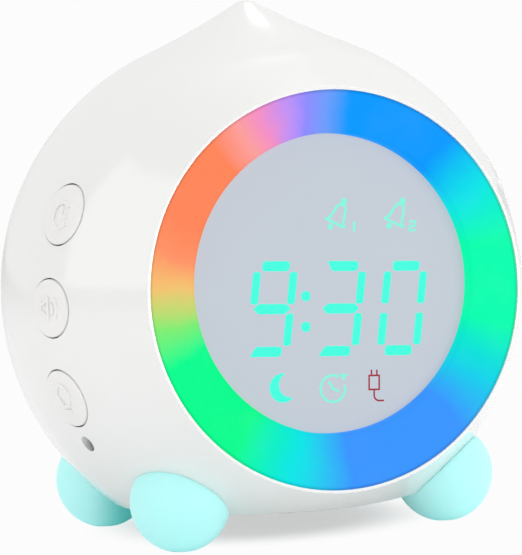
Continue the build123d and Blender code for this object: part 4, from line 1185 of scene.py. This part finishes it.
@dataclass
class Studio:
    """Floor, soft lights and camera.

    Attributes:
        camera_turn: Turn of the camera round the clock, from straight in front.
        camera_rise: Its rise above level.
        camera_roll: Its roll about the way it looks.
        camera_distance: Its distance from the ball's centre, in millimetres.
        focal: Focal length of its lens, in millimetres.
        sensor: Width of its sensor, in millimetres.
        shift: Shift of its lens, across and up.
        clip_end: How far it sees, in metres.
        surround: Strength of the pale light from all round.
        behind: Strength of it from behind the clock.
        behind_span: Cosines of the angle from straight behind where that begins and is full.
        backdrop: Strength of the white that the camera sees.
        floor_size: Width of the floor in metres.
        floor_tones: Its two close tones, sRGB hex.
        floor_patch_mm: Size of its patches of tone.
        floor_veil: Share of white over the shadow under the clock.
        fade: Distances from the clock's middle, in metres, over which the floor runs out to white.
        softboxes: The lamps.
    """

    camera_turn: float = math.radians(-22.449)
    camera_rise: float = math.radians(4.857)
    camera_roll: float = math.radians(-3.223)
    camera_distance: float = 770.0
    focal: float = 236.1
    sensor: float = 36.0
    shift: tuple[float, float] = (-0.00025, 0.0190)
    clip_end: float = 20.0
    surround: float = 0.585
    behind: float = 0.86
    behind_span: tuple[float, float] = (0.05, 0.6)
    backdrop: float = 0.975
    floor_size: float = 8.0
    floor_tones: tuple[str, str] = ("#FBFBFC", "#FDFDFE")
    floor_patch_mm: float = 83.3
    floor_veil: float = 0.52
    fade: tuple[float, float] = (0.020, 0.040)
    softboxes: tuple[Softbox, ...] = (
        Softbox("left_softbox", (-0.7, -0.1, 0.78), (0, -0.1, 0.78), (0.85, 1.36), 3.0),
        Softbox("right_softbox", (0.85, -0.2, 0.45), (0, 0, 0.05), (0.9, 1.1), 1.3),
        Softbox("top_softbox", (0.25, 0.1, 0.95), (0, 0, 0.05), (0.7, 0.7), 1.85),
        Softbox("front_softbox", (0.25, -0.87, 0.07), (0, 0, 0.03), (1.2, 0.12), 2.8),
    )

    def camera(self) -> None:
        """Places the camera, aimed at the ball's centre."""
        turn, rise = self.camera_turn, self.camera_rise
        away = Vector(
            (math.sin(turn) * math.cos(rise), -math.cos(turn) * math.cos(rise), math.sin(rise))
        )
        forward = -away
        right = forward.cross(Vector((0, 0, 1))).normalized()
        up = right.cross(forward)
        roll_cos, roll_sin = math.cos(self.camera_roll), math.sin(self.camera_roll)
        right, up = roll_cos * right + roll_sin * up, -roll_sin * right + roll_cos * up
        data = bpy.data.cameras.new("camera")
        data.lens = self.focal
        data.sensor_width = self.sensor
        data.shift_x, data.shift_y = self.shift
        data.clip_end = self.clip_end
        holder = bpy.data.objects.new("camera", data)
        bpy.context.scene.collection.objects.link(holder)
        turned = Matrix((right, up, away)).transposed().to_4x4()
        place = (BALL_CENTRE + away * self.camera_distance) * MM
        holder.matrix_world = Matrix.Translation(place) @ turned
        bpy.context.scene.camera = holder

    def world(self) -> None:
        """White behind the object as the camera sees it, and soft pale light all round."""
        world = bpy.data.worlds.new("studio")
        bpy.context.scene.world = world
        world.use_nodes = True
        tree = world.node_tree
        tree.nodes.clear()
        direction = add_node(tree, "ShaderNodeTexCoord").outputs["Generated"]
        back = (-math.sin(self.camera_turn), math.cos(self.camera_turn), 0.0)
        share = add_node(
            tree, "ShaderNodeVectorMath", {"operation": "DOT_PRODUCT", 1: back}, {0: direction}
        ).outputs["Value"]
        around = add_node(
            tree,
            "ShaderNodeMapRange",
            {
                "From Min": self.behind_span[0],
                "From Max": self.behind_span[1],
                "To Min": self.surround,
                "To Max": self.behind,
            },
            {"Value": share},
        ).outputs[0]
        seen = add_node(tree, "ShaderNodeLightPath").outputs["Is Camera Ray"]
        strength = add_node(
            tree, "ShaderNodeMix", {3: self.backdrop}, {0: seen, 2: around}
        ).outputs[0]
        background = add_node(
            tree, "ShaderNodeBackground", {"Color": WHITE}, {"Strength": strength}
        )
        add_node(tree, "ShaderNodeOutputWorld", links={"Surface": background.outputs[0]})

    def paper(self) -> bpy.types.Material:
        """Builds the floor's finish: matt coated paper, with no gloss and a soft shadow.

        Returns:
            The material, which runs out to plain white away from the clock.
        """
        material, tree = new_tree("pale_paper_floor")
        place = add_node(tree, "ShaderNodeTexCoord").outputs["Object"]
        cloud = add_node(
            tree,
            "ShaderNodeTexNoise",
            {"Scale": 1 / (self.floor_patch_mm * MM), "Detail": 2.0},
            {"Vector": place},
        ).outputs[0]
        tone = add_node(
            tree,
            "ShaderNodeMix",
            {"data_type": "RGBA", 6: linear(self.floor_tones[0]), 7: linear(self.floor_tones[1])},
            {0: cloud},
        ).outputs[2]
        matt = add_node(tree, "ShaderNodeBsdfDiffuse", links={"Color": tone})
        white = add_node(
            tree, "ShaderNodeEmission", {"Color": WHITE, "Strength": self.backdrop}
        )
        away = add_node(
            tree, "ShaderNodeVectorMath", {"operation": "LENGTH"}, {0: place}
        ).outputs["Value"]
        fade = add_node(
            tree,
            "ShaderNodeMapRange",
            {
                "From Min": self.fade[0],
                "From Max": self.fade[1],
                "To Min": self.floor_veil,
                "interpolation_type": "SMOOTHSTEP",
            },
            {"Value": away},
        ).outputs[0]
        seen = add_node(tree, "ShaderNodeLightPath").outputs["Is Camera Ray"]
        share = add_node(
            tree, "ShaderNodeMath", {"operation": "MULTIPLY"}, {0: fade, 1: seen}
        ).outputs[0]
        mixed = add_node(
            tree, "ShaderNodeMixShader", links={0: share, 1: matt.outputs[0], 2: white.outputs[0]}
        )
        add_node(tree, "ShaderNodeOutputMaterial", links={"Surface": mixed.outputs[0]})
        return material

    def floor(self) -> None:
        """Adds a wide pale floor that keeps the object's shadow."""
        bpy.ops.object.select_all(action="DESELECT")
        bpy.ops.mesh.primitive_plane_add(size=self.floor_size, location=(0, 0, 0))
        plane = bpy.context.object
        plane.name = "floor"
        plane.data.materials.append(self.paper())

    def build(self) -> None:
        """Sets up the whole studio."""
        self.camera()
        self.world()
        self.floor()
        for softbox in self.softboxes:
            softbox.build()
        bpy.context.scene.view_settings.view_transform = "Standard"


def main() -> None:
    """Builds every sub-assembly, then the studio."""
    logging.basicConfig(level=logging.INFO, format="%(message)s")
    dresser = Dresser(frame["record"])
    normals = FormNormals()
    done: set[str] = set()
    assemblies = (
        Shells(dresser, normals),
        Keys(dresser, normals),
        LightRing(dresser),
        Icons(dresser),
    )
    for assembly in assemblies:
        for name in assembly.build():
            log.info("built %s", name)
            done.update(bpy.data.objects[name].get("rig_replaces", []))
    for name in Carried(dresser, done).build():
        log.info("carried %s", name)
    Studio().build()


if __name__ == "__main__":
    main()
